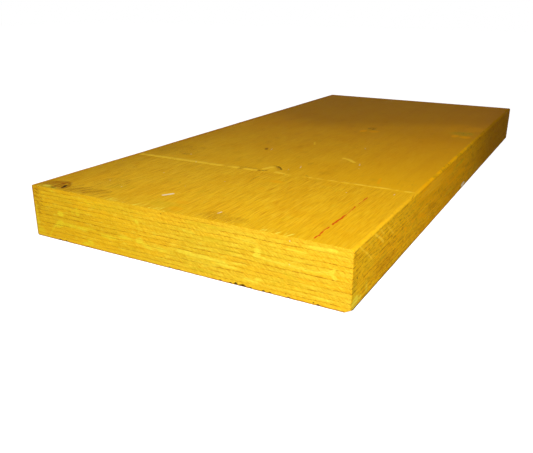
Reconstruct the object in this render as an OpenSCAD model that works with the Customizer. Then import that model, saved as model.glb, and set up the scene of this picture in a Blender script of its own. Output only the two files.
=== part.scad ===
// Laminated veneer lumber beam: a plank of thirteen peeled veneers, all with
// their grain along the length, glued flat and sawn to size.
//
// The upper face veneer is two sheets, scarfed together near one end, so its
// joint shows as a line straight across the face. Every other veneer runs
// through from end to end.
//
// Millimetres. +Y runs along the grain from the front end to the rear end, +X
// across the width and +Z up through the veneers. The origin is the centre of
// the underside.

/* [Beam] */
// Length along the grain
beam_length = 550; // [400:10:1200]
// Width across the grain
beam_width = 250; // [150:5:400]
// Thickness of one pressed veneer
veneer_thickness = 3; // [2.6:0.1:4]
// Number of veneers through the thickness
veneer_count = 13; // [7:2:19]

/* [Eased edges] */
// Radius of the two long arrises of the upper face
upper_arris_radius = 2; // [0.5:0.1:2.5]
// Radius of the two long arrises of the underside
lower_arris_radius = 1.5; // [0.5:0.1:2.5]

/* [Face joint] */
// Distance of the joint line from the front end
joint_from_end = 119; // [60:1:240]
// Run of the scarf for each millimetre of veneer thickness
scarf_slope = 8; // [4:1:12]

/* [Knocked corner] */
// Width lost at the front right corner of the underside
knock_width = 4; // [1:0.5:12]
// Length lost at that corner
knock_length = 6.5; // [1:0.5:15]
// Height lost at that corner
knock_height = 2.4; // [0.5:0.1:2.5]

/* [Hidden] */
$fn = 48;

beam_thickness = veneer_count * veneer_thickness;
front_y = -beam_length / 2;
rear_y = beam_length / 2;
right_x = beam_width / 2;

joint_y = front_y + joint_from_end;
scarf_run = scarf_slope * veneer_thickness;

// Core veneers are numbered upwards from the bottom face veneer, which is 1.
core_numbers = [2 : veneer_count - 1];

// Name of a core veneer, with two figures so that the names sort in order.
function core_name(number) = str("core_veneer_", number < 10 ? "0" : "", number);

// Height of the underside of a veneer.
function veneer_floor(number) = (number - 1) * veneer_thickness;

// What easing takes off one arris. The sharp corner is at the origin and the
// timber lies towards +X and +Y.
module arris_waste(radius) {
    difference() {
        translate([-radius, -radius]) square(2 * radius);
        translate([radius, radius]) circle(radius);
    }
}

// Section of the plank, across the grain: a rectangle with eased corners.
module plank_section() {
    difference() {
        translate([-right_x, 0]) square([beam_width, beam_thickness]);
        for (flip = [0, 1])
            mirror([flip, 0])
                translate([-right_x, 0]) {
                    arris_waste(lower_arris_radius);
                    translate([0, beam_thickness])
                        mirror([0, 1]) arris_waste(upper_arris_radius);
                }
    }
}

// Everything beyond the plane through three points on the corner's edges, which
// is what the knock took off.
module knocked_off() {
    edge_points = [
        [right_x - knock_width, front_y, 0],
        [right_x, front_y + knock_length, 0],
        [right_x, front_y, knock_height]
    ];
    along = edge_points[1] - edge_points[0];
    outward = cross(along, edge_points[2] - edge_points[0]);
    z_axis = outward / norm(outward);
    x_axis = along / norm(along);
    y_axis = cross(z_axis, x_axis);
    corner_axes = [
        for (row = [0 : 2])
            [x_axis[row], y_axis[row], z_axis[row], edge_points[0][row]]
    ];
    reach = 4 * max(knock_width, knock_length, knock_height);
    multmatrix(corner_axes)
        translate([-reach, -reach, 0]) cube(2 * reach);
}

// The whole plank before it is parted into veneers: cut square at both ends,
// with its long arrises eased and one corner knocked.
module sawn_plank() {
    difference() {
        translate([0, rear_y, 0])
            rotate([90, 0, 0])
                linear_extrude(height = beam_length) plank_section();
        knocked_off();
    }
}

// One sheet of a veneer, cut from the plank. Its outline is drawn along the
// grain: y positions of its lower and upper corners at each end.
module veneer_sheet(number, front_low, front_high, rear_high, rear_low) {
    low = veneer_floor(number);
    high = low + veneer_thickness;
    intersection() {
        sawn_plank();
        rotate([90, 0, 90])
            linear_extrude(height = beam_width, center = true)
                polygon([
                    [front_low, low],
                    [rear_low, low],
                    [rear_high, high],
                    [front_high, high]
                ]);
    }
}

module through_veneer(number) {
    veneer_sheet(number, front_y, front_y, rear_y, rear_y);
}

module bottom_face_veneer() {
    color("goldenrod") through_veneer(1);
}

module core_veneer(number) {
    color(number % 2 == 0 ? "gold" : "goldenrod") through_veneer(number);
}

// The front sheet feathers out over the rear one, so its edge is the joint line.
module top_face_veneer_front() {
    color("goldenrod")
        veneer_sheet(veneer_count, front_y, front_y, joint_y, joint_y - scarf_run);
}

module top_face_veneer_rear() {
    color("darkgoldenrod")
        veneer_sheet(veneer_count, joint_y - scarf_run, joint_y, rear_y, rear_y);
}

bottom_face_veneer();
for (number = core_numbers)
    core_veneer(number);
top_face_veneer_front();
top_face_veneer_rear();
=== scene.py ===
"""Dresses the laminated veneer lumber beam: fourteen glued sheets, their grain, glue lines and wear.

Lengths inside the classes are millimetres. They turn into metres where a mesh, a lamp or the camera
is made. +Y runs along the grain away from the front end, +X across the beam and +Z up through it.
"""
import logging
import math
from dataclasses import dataclass, field
from enum import Enum
from typing import Any, Iterable, Mapping, Sequence

import bpy
import numpy as np
from mathutils import Matrix, Vector


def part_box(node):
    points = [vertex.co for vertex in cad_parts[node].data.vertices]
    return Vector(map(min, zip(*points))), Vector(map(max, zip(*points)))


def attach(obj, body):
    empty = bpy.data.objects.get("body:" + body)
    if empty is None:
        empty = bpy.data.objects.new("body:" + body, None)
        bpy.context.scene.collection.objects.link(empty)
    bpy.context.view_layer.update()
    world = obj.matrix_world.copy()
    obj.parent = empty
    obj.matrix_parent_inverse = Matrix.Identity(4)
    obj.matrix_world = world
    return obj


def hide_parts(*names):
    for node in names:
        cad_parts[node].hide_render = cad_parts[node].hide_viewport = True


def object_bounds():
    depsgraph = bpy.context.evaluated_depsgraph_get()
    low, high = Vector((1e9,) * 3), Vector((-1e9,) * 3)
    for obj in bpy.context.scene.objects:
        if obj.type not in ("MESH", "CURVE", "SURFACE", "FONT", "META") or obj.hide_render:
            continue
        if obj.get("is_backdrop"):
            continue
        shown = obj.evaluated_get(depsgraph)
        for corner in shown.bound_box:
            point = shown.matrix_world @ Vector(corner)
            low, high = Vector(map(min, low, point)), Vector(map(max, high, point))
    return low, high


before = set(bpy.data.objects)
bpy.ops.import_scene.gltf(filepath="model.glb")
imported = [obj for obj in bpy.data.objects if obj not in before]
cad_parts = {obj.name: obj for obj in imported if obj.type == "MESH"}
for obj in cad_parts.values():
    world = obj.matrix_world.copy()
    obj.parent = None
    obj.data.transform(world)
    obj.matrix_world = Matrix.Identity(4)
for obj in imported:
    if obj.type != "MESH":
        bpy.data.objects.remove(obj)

LOG = logging.getLogger("lvl_beam")
CAD_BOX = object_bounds()
MM = 0.001
# What counts as away from every glue line, in millimetres.
FAR_FROM_GLUE = 9.0
# Direction of the saw marks on the long sides, along the beam and up it.
SAW_ALONG, SAW_UP = 0.637, 0.771

Field = np.ndarray
Colour = tuple[float, float, float, float]


def tone(red: int, green: int, blue: int) -> Colour:
    """Turns a paint-chart colour, 0 to 255 a channel, into the shader's opaque linear colour."""
    parts = [channel / 255 for channel in (red, green, blue)]
    return *(part / 12.92 if part < 0.04045 else ((part + 0.055) / 1.055) ** 2.4 for part in parts), 1.0


def ease(value: Field, low: float, high: float) -> Field:
    """Rises smoothly from 0 at low to 1 at high, or falls if high is the lower of the two."""
    part = np.clip((np.asarray(value, float) - low) / (high - low), 0.0, 1.0)
    return part * part * (3 - 2 * part)


def bell(value: Field, width: float) -> Field:
    """A smooth bump, 1 where value is 0 and gone a couple of widths away."""
    return np.exp(-(np.asarray(value, float) / width) ** 2)


def rounding(reach: Field, radius: Any) -> Field:
    """How far a rounded arris is cut back at a reach into its radius."""
    return radius - np.sqrt(radius ** 2 - np.clip(reach, 0, radius) ** 2)


# ---------------------------------------------------------------------------------------- sizes


@dataclass(frozen=True)
class BeamSizes:
    """Sizes of the beam in millimetres, with the origin at the middle of the underside."""

    length: float
    width: float
    thickness: float
    veneer: float
    joint: float
    scarf_foot: float
    upper_arris: float = 2.0
    lower_arris: float = 1.5
    knock: tuple[float, float, float] = (4.0, 6.5, 2.4)

    @classmethod
    def from_frame(cls) -> "BeamSizes":
        """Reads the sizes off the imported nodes.

        Returns:
            The sizes in millimetres.
        """
        low, high = CAD_BOX
        sheet_low, sheet_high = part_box("bottom_face_veneer")
        front_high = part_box("top_face_veneer_front")[1]
        rear_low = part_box("top_face_veneer_rear")[0]
        return cls(
            length=round((high[1] - low[1]) / MM, 3),
            width=round((high[0] - low[0]) / MM, 3),
            thickness=round((high[2] - low[2]) / MM, 3),
            veneer=round((sheet_high[2] - sheet_low[2]) / MM, 3),
            joint=round(front_high[1] / MM, 3),
            scarf_foot=round(rear_low[1] / MM, 3),
        )

    @property
    def count(self) -> int:
        """Number of veneers in the thickness."""
        return round(self.thickness / self.veneer)

    @property
    def half_width(self) -> float:
        """Half the width."""
        return self.width / 2

    @property
    def half_length(self) -> float:
        """Half the length."""
        return self.length / 2

    @property
    def scarf_slope(self) -> float:
        """Run of the scarf for each millimetre of its height."""
        return (self.joint - self.scarf_foot) / self.veneer

    def inside(self, x: Field, y: Field) -> Field:
        """Distance from the nearest side or end."""
        return np.minimum(self.half_width - np.abs(x), self.half_length - np.abs(y))

    def in_plan(self, points: Field) -> Field:
        """Places of points in plan, as parts of the width and the length."""
        return points[..., :2] / np.array([self.width, self.length]) + 0.5

    def ply(self, layer: Field) -> Field:
        """Number of whole veneers below a level that is given in veneers."""
        return np.floor(np.clip(layer, 0, self.count - 1e-3))


# ---------------------------------------------------------------------------------------- noise


class LatticeNoise:
    """Smooth noise with a fixed seed, from a wrapped lattice of random values."""

    SIZE = 128

    def __init__(self, seed: int) -> None:
        """Fills the lattice from the seed."""
        self.values = np.random.default_rng(seed).uniform(-1.0, 1.0, (self.SIZE, self.SIZE))

    def at(self, first: Any, second: Any) -> Field:
        """Noise at a pair of coordinates, one lattice step to the unit.

        Args:
            first: First coordinate.
            second: Second coordinate.

        Returns:
            Values between -1 and 1.
        """
        first, second = np.broadcast_arrays(np.asarray(first, float), np.asarray(second, float))
        row, column = np.floor(first), np.floor(second)
        down, across = first - row, second - column
        down = down * down * (3 - 2 * down)
        across = across * across * (3 - 2 * across)
        r0, c0 = row.astype(int) % self.SIZE, column.astype(int) % self.SIZE
        r1, c1 = (r0 + 1) % self.SIZE, (c0 + 1) % self.SIZE
        left = self.values[r0, c0] * (1 - down) + self.values[r1, c0] * down
        right = self.values[r0, c1] * (1 - down) + self.values[r1, c1] * down
        return left * (1 - across) + right * across

    def layered(self, first: Any, second: Any, layers: int = 3) -> Field:
        """Adds finer and fainter noise to the broad noise.

        Args:
            first: First coordinate.
            second: Second coordinate.
            layers: How many sizes of noise are added.

        Returns:
            Values between -1 and 1.
        """
        total: Any = 0.0
        weight = 0.0
        for step in range(layers):
            gain = 0.5 ** step
            scale = 2.0 ** step
            total = total + gain * self.at(np.asarray(first) * scale + 17.3 * step,
                                           np.asarray(second) * scale + 9.1 * step)
            weight += gain
        return total / weight


# ---------------------------------------------------------------------------------------- marks


class Face(Enum):
    """The faces that carry marks of their own."""

    UPPER = "upper"
    FRONT_END = "front_end"
    RIGHT_SIDE = "right_side"


class Mark(Enum):
    """What a mark on the wood is made of."""

    LEMON = "lemon"
    BROWN = "brown"
    DARK = "dark"
    PALE = "pale"
    RED = "red"
    OLIVE = "olive"
    CHALK = "chalk"
    ORANGE = "orange"
    SEAM = "seam"


LEMON, BROWN, DARK, PALE, RED, OLIVE, CHALK, ORANGE, SEAM = Mark


@dataclass(frozen=True)
class Patch:
    """A soft-edged oval mark, in millimetres on its own face."""

    mark: Mark
    at: tuple[float, float]
    size: tuple[float, float]
    turn: float = 0.0
    strength: float = 1.0
    sink: float = 0.0

    def weight(self, first: Field, second: Field) -> Field:
        """How strongly the mark covers each place.

        Args:
            first: Distance along the face's first direction.
            second: Distance along its second direction.

        Returns:
            0 outside to the mark's strength at its middle.
        """
        angle = math.radians(self.turn)
        a, b = first - self.at[0], second - self.at[1]
        along = (a * math.cos(angle) + b * math.sin(angle)) / (self.size[0] / 2)
        across = (b * math.cos(angle) - a * math.sin(angle)) / (self.size[1] / 2)
        return self.strength * ease(np.sqrt(along ** 2 + across ** 2), 1.5, 0.5)


@dataclass(frozen=True)
class Stroke:
    """A mark drawn along a line of points, in millimetres on its own face."""

    mark: Mark
    points: tuple[tuple[float, float], ...]
    width: float
    strength: float = 1.0
    sink: float = 0.0

    def weight(self, first: Field, second: Field) -> Field:
        """How strongly the mark covers each place.

        Args:
            first: Distance along the face's first direction.
            second: Distance along its second direction.

        Returns:
            0 outside to the mark's strength on its line.
        """
        nearest = np.full(np.broadcast(first, second).shape, 1e9)
        for start, end in zip(self.points, self.points[1:]):
            run = (end[0] - start[0], end[1] - start[1])
            size = max(run[0] ** 2 + run[1] ** 2, 1e-9)
            part = np.clip(((first - start[0]) * run[0] + (second - start[1]) * run[1]) / size, 0, 1)
            gap = np.hypot(first - start[0] - part * run[0], second - start[1] - part * run[1])
            nearest = np.minimum(nearest, gap)
        return self.strength * ease(nearest, self.width * 0.75, self.width * 0.25)


def patches(mark: Mark, *rows: tuple[float, ...], sink: float = 0.0) -> list[Patch]:
    """Patches of one kind, from each one's middle, width, height, strength and, if it has one, turn."""
    return [Patch(mark, (x, y), (wide, tall), sum(turn), strength, sink)
            for x, y, wide, tall, strength, *turn in rows]


def strokes(mark: Mark, *rows: tuple[Any, ...], sink: float = 0.0) -> list[Stroke]:
    """Strokes of one kind, from each one's width, strength and points."""
    return [Stroke(mark, tuple(points), width, strength, sink) for width, strength, *points in rows]


def knot_ring(middle: tuple[float, float], radius: tuple[float, float], sweep: tuple[float, float],
              width: float, strength: float) -> Stroke:
    """A brown growth ring round a knot.

    Args:
        middle: Middle of the knot.
        radius: Half sizes of the ring along the face's two directions.
        sweep: Start and end of the ring in degrees.
        width: Width of the ring.
        strength: How brown it is.

    Returns:
        The ring as a stroke.
    """
    angles = [math.radians(sweep[0] + (sweep[1] - sweep[0]) * step / 12) for step in range(13)]
    points = tuple((middle[0] + radius[0] * math.cos(a), middle[1] + radius[1] * math.sin(a)) for a in angles)
    return Stroke(BROWN, points, width, strength)


class MarkBook:
    """Every knot, chip, smear and line on the beam, by the face that carries it."""

    def __init__(self) -> None:
        """Writes the marks down face by face."""
        self.pages: dict[Face, list[Patch | Stroke]] = {
            Face.UPPER: self.upper_face(),
            Face.FRONT_END: self.front_end(),
            Face.RIGHT_SIDE: self.right_side(),
        }

    @staticmethod
    def upper_face() -> list[Patch | Stroke]:
        """Marks on the upper face.

        Returns:
            Marks placed from the left arris and from the front end.
        """
        marks: list[Patch | Stroke] = [
            # the corner knot, and the stains round it and along the left arris
            *patches(BROWN, (14, 11, 24, 16, 0.55), (19, 8, 10, 10, 0.7, 20), (44, 9, 44, 15, 0.4, 14),
                     (47, 34, 34, 30, 0.32, 30), (30, 66, 30, 50, 0.2), (24, 146, 54, 44, 0.3)),
            *patches(OLIVE, (17.5, 3.4, 11, 5, 0.9, -10), (60, 28, 30, 16, 0.4, 25), (18, 150, 40, 70, 0.3)),
            *patches(LEMON, (11.5, 4.4, 9, 5, 0.75)),
            *patches(DARK, (19, 3.2, 8, 3.6, 0.4, -10)),
            knot_ring((16.5, 6.5), (10.5, 11.5), (140, -10), 3.4, 0.66),
            knot_ring((17, 6.5), (6, 7), (150, 20), 2.2, 0.6),
            *strokes(DARK, (2.3, 1.0, (24.6, 7), (23.8, 9.5), (22.8, 11.8)), sink=0.3),
            # stains and flecks elsewhere on the front half
            *patches(BROWN, (153, 10, 22, 16, 0.42, 15), (168, 9, 22, 12, 0.4, 8), (150, 158, 6, 10, 0.3),
                     (78, 214, 8, 18, 0.28)),
            *patches(ORANGE, (120, 22, 12, 8, 0.45), (124, 9, 12, 8, 0.5), (150, 97, 12, 8, 0.6),
                     (148, 76, 9, 9, 0.4)),
            *patches(OLIVE, (110, 12, 26, 14, 0.45)),
            *patches(DARK, (89, 59.5, 1.9, 3.4, 0.42)),
            *strokes(BROWN, (1.6, 0.5, (131, 104), (132, 90))),
            *strokes(ORANGE, (2.4, 0.9, (215, 144), (218, 130))),
            *strokes(PALE, (1.4, 0.3, (238, 131), (235, 140)), (1.2, 0.3, (240, 143), (244, 136))),
            # the knots towards the rear end
            *patches(ORANGE, (138, 313, 7, 13, 0.9), (149, 315, 11, 13, 0.62), (228, 334, 7, 13, 1.0),
                     (238, 333, 12, 13, 0.8), (238, 378, 22, 34, 0.4), (226, 375, 36, 70, 0.26)),
            *patches(DARK, (232, 350, 23, 20, 0.32)),
            *patches(OLIVE, (232, 350, 26, 24, 0.6)),
            *patches(DARK, (142, 330, 15, 16, 0.38), sink=0.1),
            # the knot hole in the joint, what the press pushed out of it, and pale stretches of the joint's
            # lip, partly a painted highlight on its raised step
            *patches(BROWN, (113, 121, 26, 8, 0.36), (39, 135.5, 9, 6, 0.5)),
            *patches(PALE, (148.4, 118.3, 6, 3, 0.55)),
            *strokes(PALE, (1.5, 0.45, (43, 114.6), (51, 115.2)), (1.6, 0.6, (55, 115.2), (64, 115.8)),
                     (1.8, 0.75, (73.5, 116.4), (83, 117.1)), (3.4, 0.95, (137.4, 121.4), (142.7, 120))),
            *strokes(BROWN, (1.6, 0.6, (84.6, 116.8), (87, 117.3)), (2.2, 0.5, (104, 117), (109, 117.5)),
                     (2.0, 0.6, (126, 121), (129, 122)), (5.0, 0.4, (127, 138), (132, 135), (136, 129))),
            *strokes(DARK, (1.8, 0.45, (162, 124), (165, 122))),
            *strokes(PALE, (3.8, 1.0, (112, 118), (119, 118)), sink=-0.1),
            *strokes(PALE, (4.2, 1.0, (124.2, 125), (127, 133)), sink=-0.15),
            *strokes(BROWN, (2.8, 1.0, (120.6, 118), (123, 118.6)), sink=0.3),
            *strokes(DARK, (2.2, 0.54, (128.5, 138), (132.5, 136), (137, 130.5)), sink=0.3),
            *patches(DARK, (125.2, 120.6, 2.6, 3, 0.6), sink=0.3),
            # splinters, dashes and pale flecks
            *strokes(BROWN, (3.2, 0.8, (89.5, 191), (92, 186)), sink=0.1),
            *strokes(PALE, (2.4, 0.55, (117, 237), (121.5, 227)),
                     (3.6, 0.8, (166, 190), (172, 187.5), (179, 181))),
            *strokes(CHALK, (2.4, 1.0, (98.8, 28), (102.4, 34)), sink=0.15),
            *strokes(CHALK, (1.5, 0.55, (152.8, 14.5), (153.4, 18.5))),
            *patches(CHALK, (43.7, 136.6, 1.6, 3, 0.55)),
        ]
        for x, y in ((146, 148), (168, 238), (185, 179), (95, 192)):
            marks += strokes(CHALK, (1.4, 0.52, (x, y), (x + 2, y - 6)))
        for x, y in ((229, 148), (234, 138), (239, 150), (243, 134), (226, 134)):
            marks += strokes(BROWN, (1.6, 0.22, (x, y), (x + 3, y - 16)))
        for x, y in ((206, 97), (237, 109), (60, 29), (62, 75), (117, 78), (41, 38), (142, 133), (190, 164),
                     (64, 116), (99, 53)):
            marks += patches(CHALK, (x, y, 1.1, 2.2, 0.66))
        return marks + MarkBook.loose_fibres() + MarkBook.crayon_line() + MarkBook.glaze_runs()

    @staticmethod
    def loose_fibres() -> list[Stroke]:
        """Pale ticks behind the front edge and brown fibres beside the corner knot.

        Returns:
            The strokes they are made of.
        """
        chance = np.random.default_rng(31)
        fibres: list[Stroke] = []
        for along in range(84, 206, 6):
            x, y = along + chance.uniform(-2, 2), 3 + 18 * chance.uniform() ** 2
            run = chance.uniform(6, 24)
            width = chance.uniform(0.6, 1.1)
            fibres += strokes(PALE, (width, chance.uniform(0.2, 0.5), (x, y), (x + run / 10, y + run)))
        for step in range(17):
            x = 23.5 + 2.6 * step + chance.uniform(-1, 1)
            y = 1.5 + 3.4 * (step % 3) + chance.uniform(0, 3)
            run = chance.uniform(4, 9)
            width = chance.uniform(0.8, 1.4)
            fibres += strokes(BROWN, (width, chance.uniform(0.6, 1.0) - 0.02 * step,
                                      (x, y), (x + 0.55 * run, y + run)))
        return fibres

    @staticmethod
    def crayon_line() -> list[Stroke]:
        """The grader's broken red crayon line near the right arris.

        Returns:
            The strokes it is made of.
        """
        noise = LatticeNoise(71)
        along = np.arange(5, 97, 2.0)
        waver = 0.5 * noise.at(along / 6, 0.5) + 0.45 * noise.at(along / 2.2, 9)
        spots = list(zip(223.9 - 1.1 * ease(along, 52, 90) + waver, along))
        line: list[Stroke] = []
        for start, end in zip(spots, spots[1:]):
            if 70 < start[1] < 76 or 26 < start[1] < 30:
                continue
            heavy = float(bell(start[1] - 39, 9))
            strength = 0.66 + 0.3 * heavy - 0.2 * float(noise.at(start[1] / 3, 7))
            line.append(Stroke(RED, (start, end), 1.0 + 0.45 * heavy, min(1.0, strength)))
        return line

    @staticmethod
    def glaze_runs() -> list[Patch]:
        """Lemon runs where the glaze pooled along the front edge.

        Returns:
            The patches they are made of.
        """
        chance = np.random.default_rng(23)
        runs: list[Patch] = []
        for start, end, count, reach, strength in (
            (3, 24, 8, 7, 0.75), (24, 68, 16, 2.0, 0.5), (68, 126, 22, 8.5, 1.0), (126, 184, 12, 2.5, 0.4),
            (184, 216, 11, 6.5, 1.0), (216, 246, 8, 2.5, 0.5),
        ):
            for along in chance.uniform(start, end, count):
                depth = reach * chance.uniform(0.15, 1.0)
                width = chance.uniform(0.6, 1.6)
                runs.append(Patch(LEMON, (float(along), depth / 2), (width, depth + 1.5),
                                  turn=chance.uniform(-30, 5), strength=strength * chance.uniform(0.3, 1)))
        return runs

    @staticmethod
    def front_end() -> list[Patch | Stroke]:
        """Marks on the crosscut front end.

        Returns:
            Marks placed from the left side and down from the upper face.
        """
        marks: list[Patch | Stroke] = [
            # pooled glaze, first on the left half and then on the right
            *patches(LEMON, (20.5, 1.9, 7, 1.8, 0.6, 6), (27, 18.4, 6.5, 3.8, 1.2, 4), (43.5, 12, 4, 3, 0.7),
                     (44, 15.5, 4, 3.4, 0.8), (39.5, 15, 4, 2.4, 0.7), (25, 26, 10, 5.5, 0.9, -25),
                     (56, 24, 12, 2.6, 0.55, -4), (72, 27, 17, 3.4, 0.8, 3), (86, 24.8, 14, 2.8, 0.8, 4),
                     (99, 25, 7, 5, 0.9, -20), (98, 12, 5, 2.4, 0.85, 45), (105, 27.6, 12, 3.6, 0.75, 20),
                     (117, 27.5, 9, 4, 0.75, 8), (54, 33.4, 7, 2.4, 0.9, 15), (51, 36, 12, 2.6, 0.95, -8),
                     (2.5, 27, 3.4, 26, 0.7), (4, 34, 12, 6, 0.6, 10), (118, 33.5, 12, 2, 0.45),
                     (54, 5, 8, 2.6, 0.5, 40), (78, 20.5, 6, 2, 0.4, 30)),
            *strokes(LEMON, (3.6, 0.68, (27, 26), (33, 25.4), (42, 25.8), (51, 25.4)),
                     (2.2, 0.46, (93, 9), (96, 11.5), (99, 13), (99.5, 18)),
                     (3.0, 0.45, (99, 26), (104, 27.5), (114, 27), (126, 27)),
                     (1.8, 0.6, (13, 36.5), (17, 32), (20, 28))),
            *patches(LEMON, (140, 25.6, 14, 3.2, 0.75, 5), (161, 25.8, 16, 2.6, 0.7, 2),
                     (140, 11, 16, 2.6, 0.5, 4), (182, 8.8, 22, 2.4, 0.55, 3), (189.8, 14.4, 5, 8, 0.72, 6),
                     (199, 17.6, 20, 1.7, 0.75, 3), (218, 18.4, 16, 1.7, 0.7, 3),
                     (228, 4.2, 16, 3.4, 0.62, 3), (237, 4, 9, 3.2, 0.72), (190, 31.5, 7, 2.6, 0.66, -12),
                     (216, 14.8, 10, 1.8, 0.5, -20), (233, 34, 16, 2.2, 0.6), (205, 34, 40, 2, 0.4),
                     (163, 22.5, 10, 1.8, 0.5, 10),
                     (153, 26, 24, 1.6, 0.8), (176, 25, 18, 1.4, 0.7, -2), (169, 28, 22, 1.4, 0.85, 1),
                     (185, 33.3, 14, 2, 0.8, 4), (150, 19.4, 14, 1.2, 0.7, 3)),
            *strokes(LEMON, (2.9, 0.66, (131, 25.0), (143, 26.2), (152, 25.4), (168, 26.8)),
                     (2.0, 0.45, (136, 29.5), (160, 29.6)),
                     (1.8, 0.66, (187, 17), (196, 17.2), (206, 18), (220, 18), (232, 18.6)),
                     (2.2, 0.66, (232, 17.4), (237, 18), (239, 14.5)), (2.8, 0.66, (237, 17), (239.5, 20)),
                     (1.7, 0.5, (186, 35.5), (190, 32), (193, 31.5))),
            # dull and pale stretches of the veneers
            *patches(OLIVE, (70, 7.5, 44, 6, 0.5), (146, 5, 26, 4, 0.45, 10), (132, 10.5, 44, 3, 0.45, 6),
                     (160, 15, 26, 4, 0.45, 8), (172, 26.5, 44, 9, 0.4), (208, 30, 46, 9, 0.5),
                     (150, 36.5, 40, 3, 0.45), (70, 37, 50, 3, 0.4), (222, 27, 34, 3, 0.4),
                     (12, 26, 18, 4, 0.3), (157, 4.4, 24, 2.2, 0.95, 3), (160, 12.2, 20, 1.8, 1.0, 1),
                     (171, 17.6, 13, 2, 0.9, 4), (150, 34.8, 20, 2.4, 0.9), (212, 24.6, 12, 3, 0.8, 10)),
            *patches(PALE, (215, 8.4, 18, 1.8, 0.55, 3)),
            *patches(BROWN, (4, 9, 12, 27, 0.38)),
            *patches(CHALK, (211, 3, 0.9, 1.1, 0.62), (211, 17.2, 0.9, 1.1, 0.62)),
        ]
        # stretches where a glue line shows strongly
        for start, end, depth, strength in (
            (3, 26, 19.9, 0.7), (26, 100, 20.3, 0.45), (16, 72, 17.2, 0.45), (8, 40, 11.1, 0.35),
            (45, 66, 11.1, 0.4), (8, 60, 27.2, 0.25), (4, 60, 8.0, 0.3), (165, 187, 11.2, 0.9),
            (208, 250, 11.1, 0.65), (192, 250, 20.6, 0.75), (206, 250, 33.1, 0.7), (120, 142, 7.9, 0.7),
            (132, 180, 30.2, 0.5), (116, 150, 17.4, 0.6), (116, 185, 20.8, 0.5), (195, 225, 14.3, 0.7),
            (165, 235, 5.2, 0.6), (120, 156, 23.8, 0.7), (196, 250, 23.8, 0.6), (196, 240, 36.0, 0.5),
            (205, 250, 29.8, 0.5),
        ):
            marks += strokes(SEAM, (3.0, strength, (start, depth), (end, depth)))
        # pinholes
        for x, y, wide, strength in (
            (220.5, 8, 1.3, 0.8), (209, 36.6, 1.7, 0.5), (227, 37.6, 1.5, 0.7), (174.5, 32, 1.0, 0.5),
            (125, 28.2, 1.4, 0.55), (118.5, 2.5, 1.2, 0.7), (198, 33.5, 1.0, 0.5), (169, 22, 1.0, 0.5),
            (79, 22.5, 1.2, 0.5), (73, 14, 1.0, 0.45), (189, 25, 1.0, 0.5), (176.5, 35, 0.9, 0.5),
            (78, 8, 1.0, 0.5), (113, 15, 1.0, 0.5), (158, 2.8, 1.0, 0.45),
        ):
            marks += patches(DARK, (x, y, wide, wide * 0.7, strength), sink=0.2)
        # chips along the foot, their dark partly painted shade under the beam
        for x, wide, tall in (
            (170.6, 2.0, 2.3), (174.4, 2.6, 3.7), (179.4, 5.2, 3.2), (185, 2.0, 2.2), (194, 2.0, 2.7),
            (198.4, 2.0, 2.4), (23.5, 3.4, 2.0), (29.6, 2.8, 2.2), (51, 2.4, 1.8), (123.3, 2.2, 1.8),
            (131, 2.2, 1.8), (163, 2.2, 2.2), (211, 2.6, 2.0), (230, 2.8, 2.0),
        ):
            marks += patches(DARK, (x, 38.9, wide, tall, 1.0), sink=0.2)
        return marks

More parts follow.
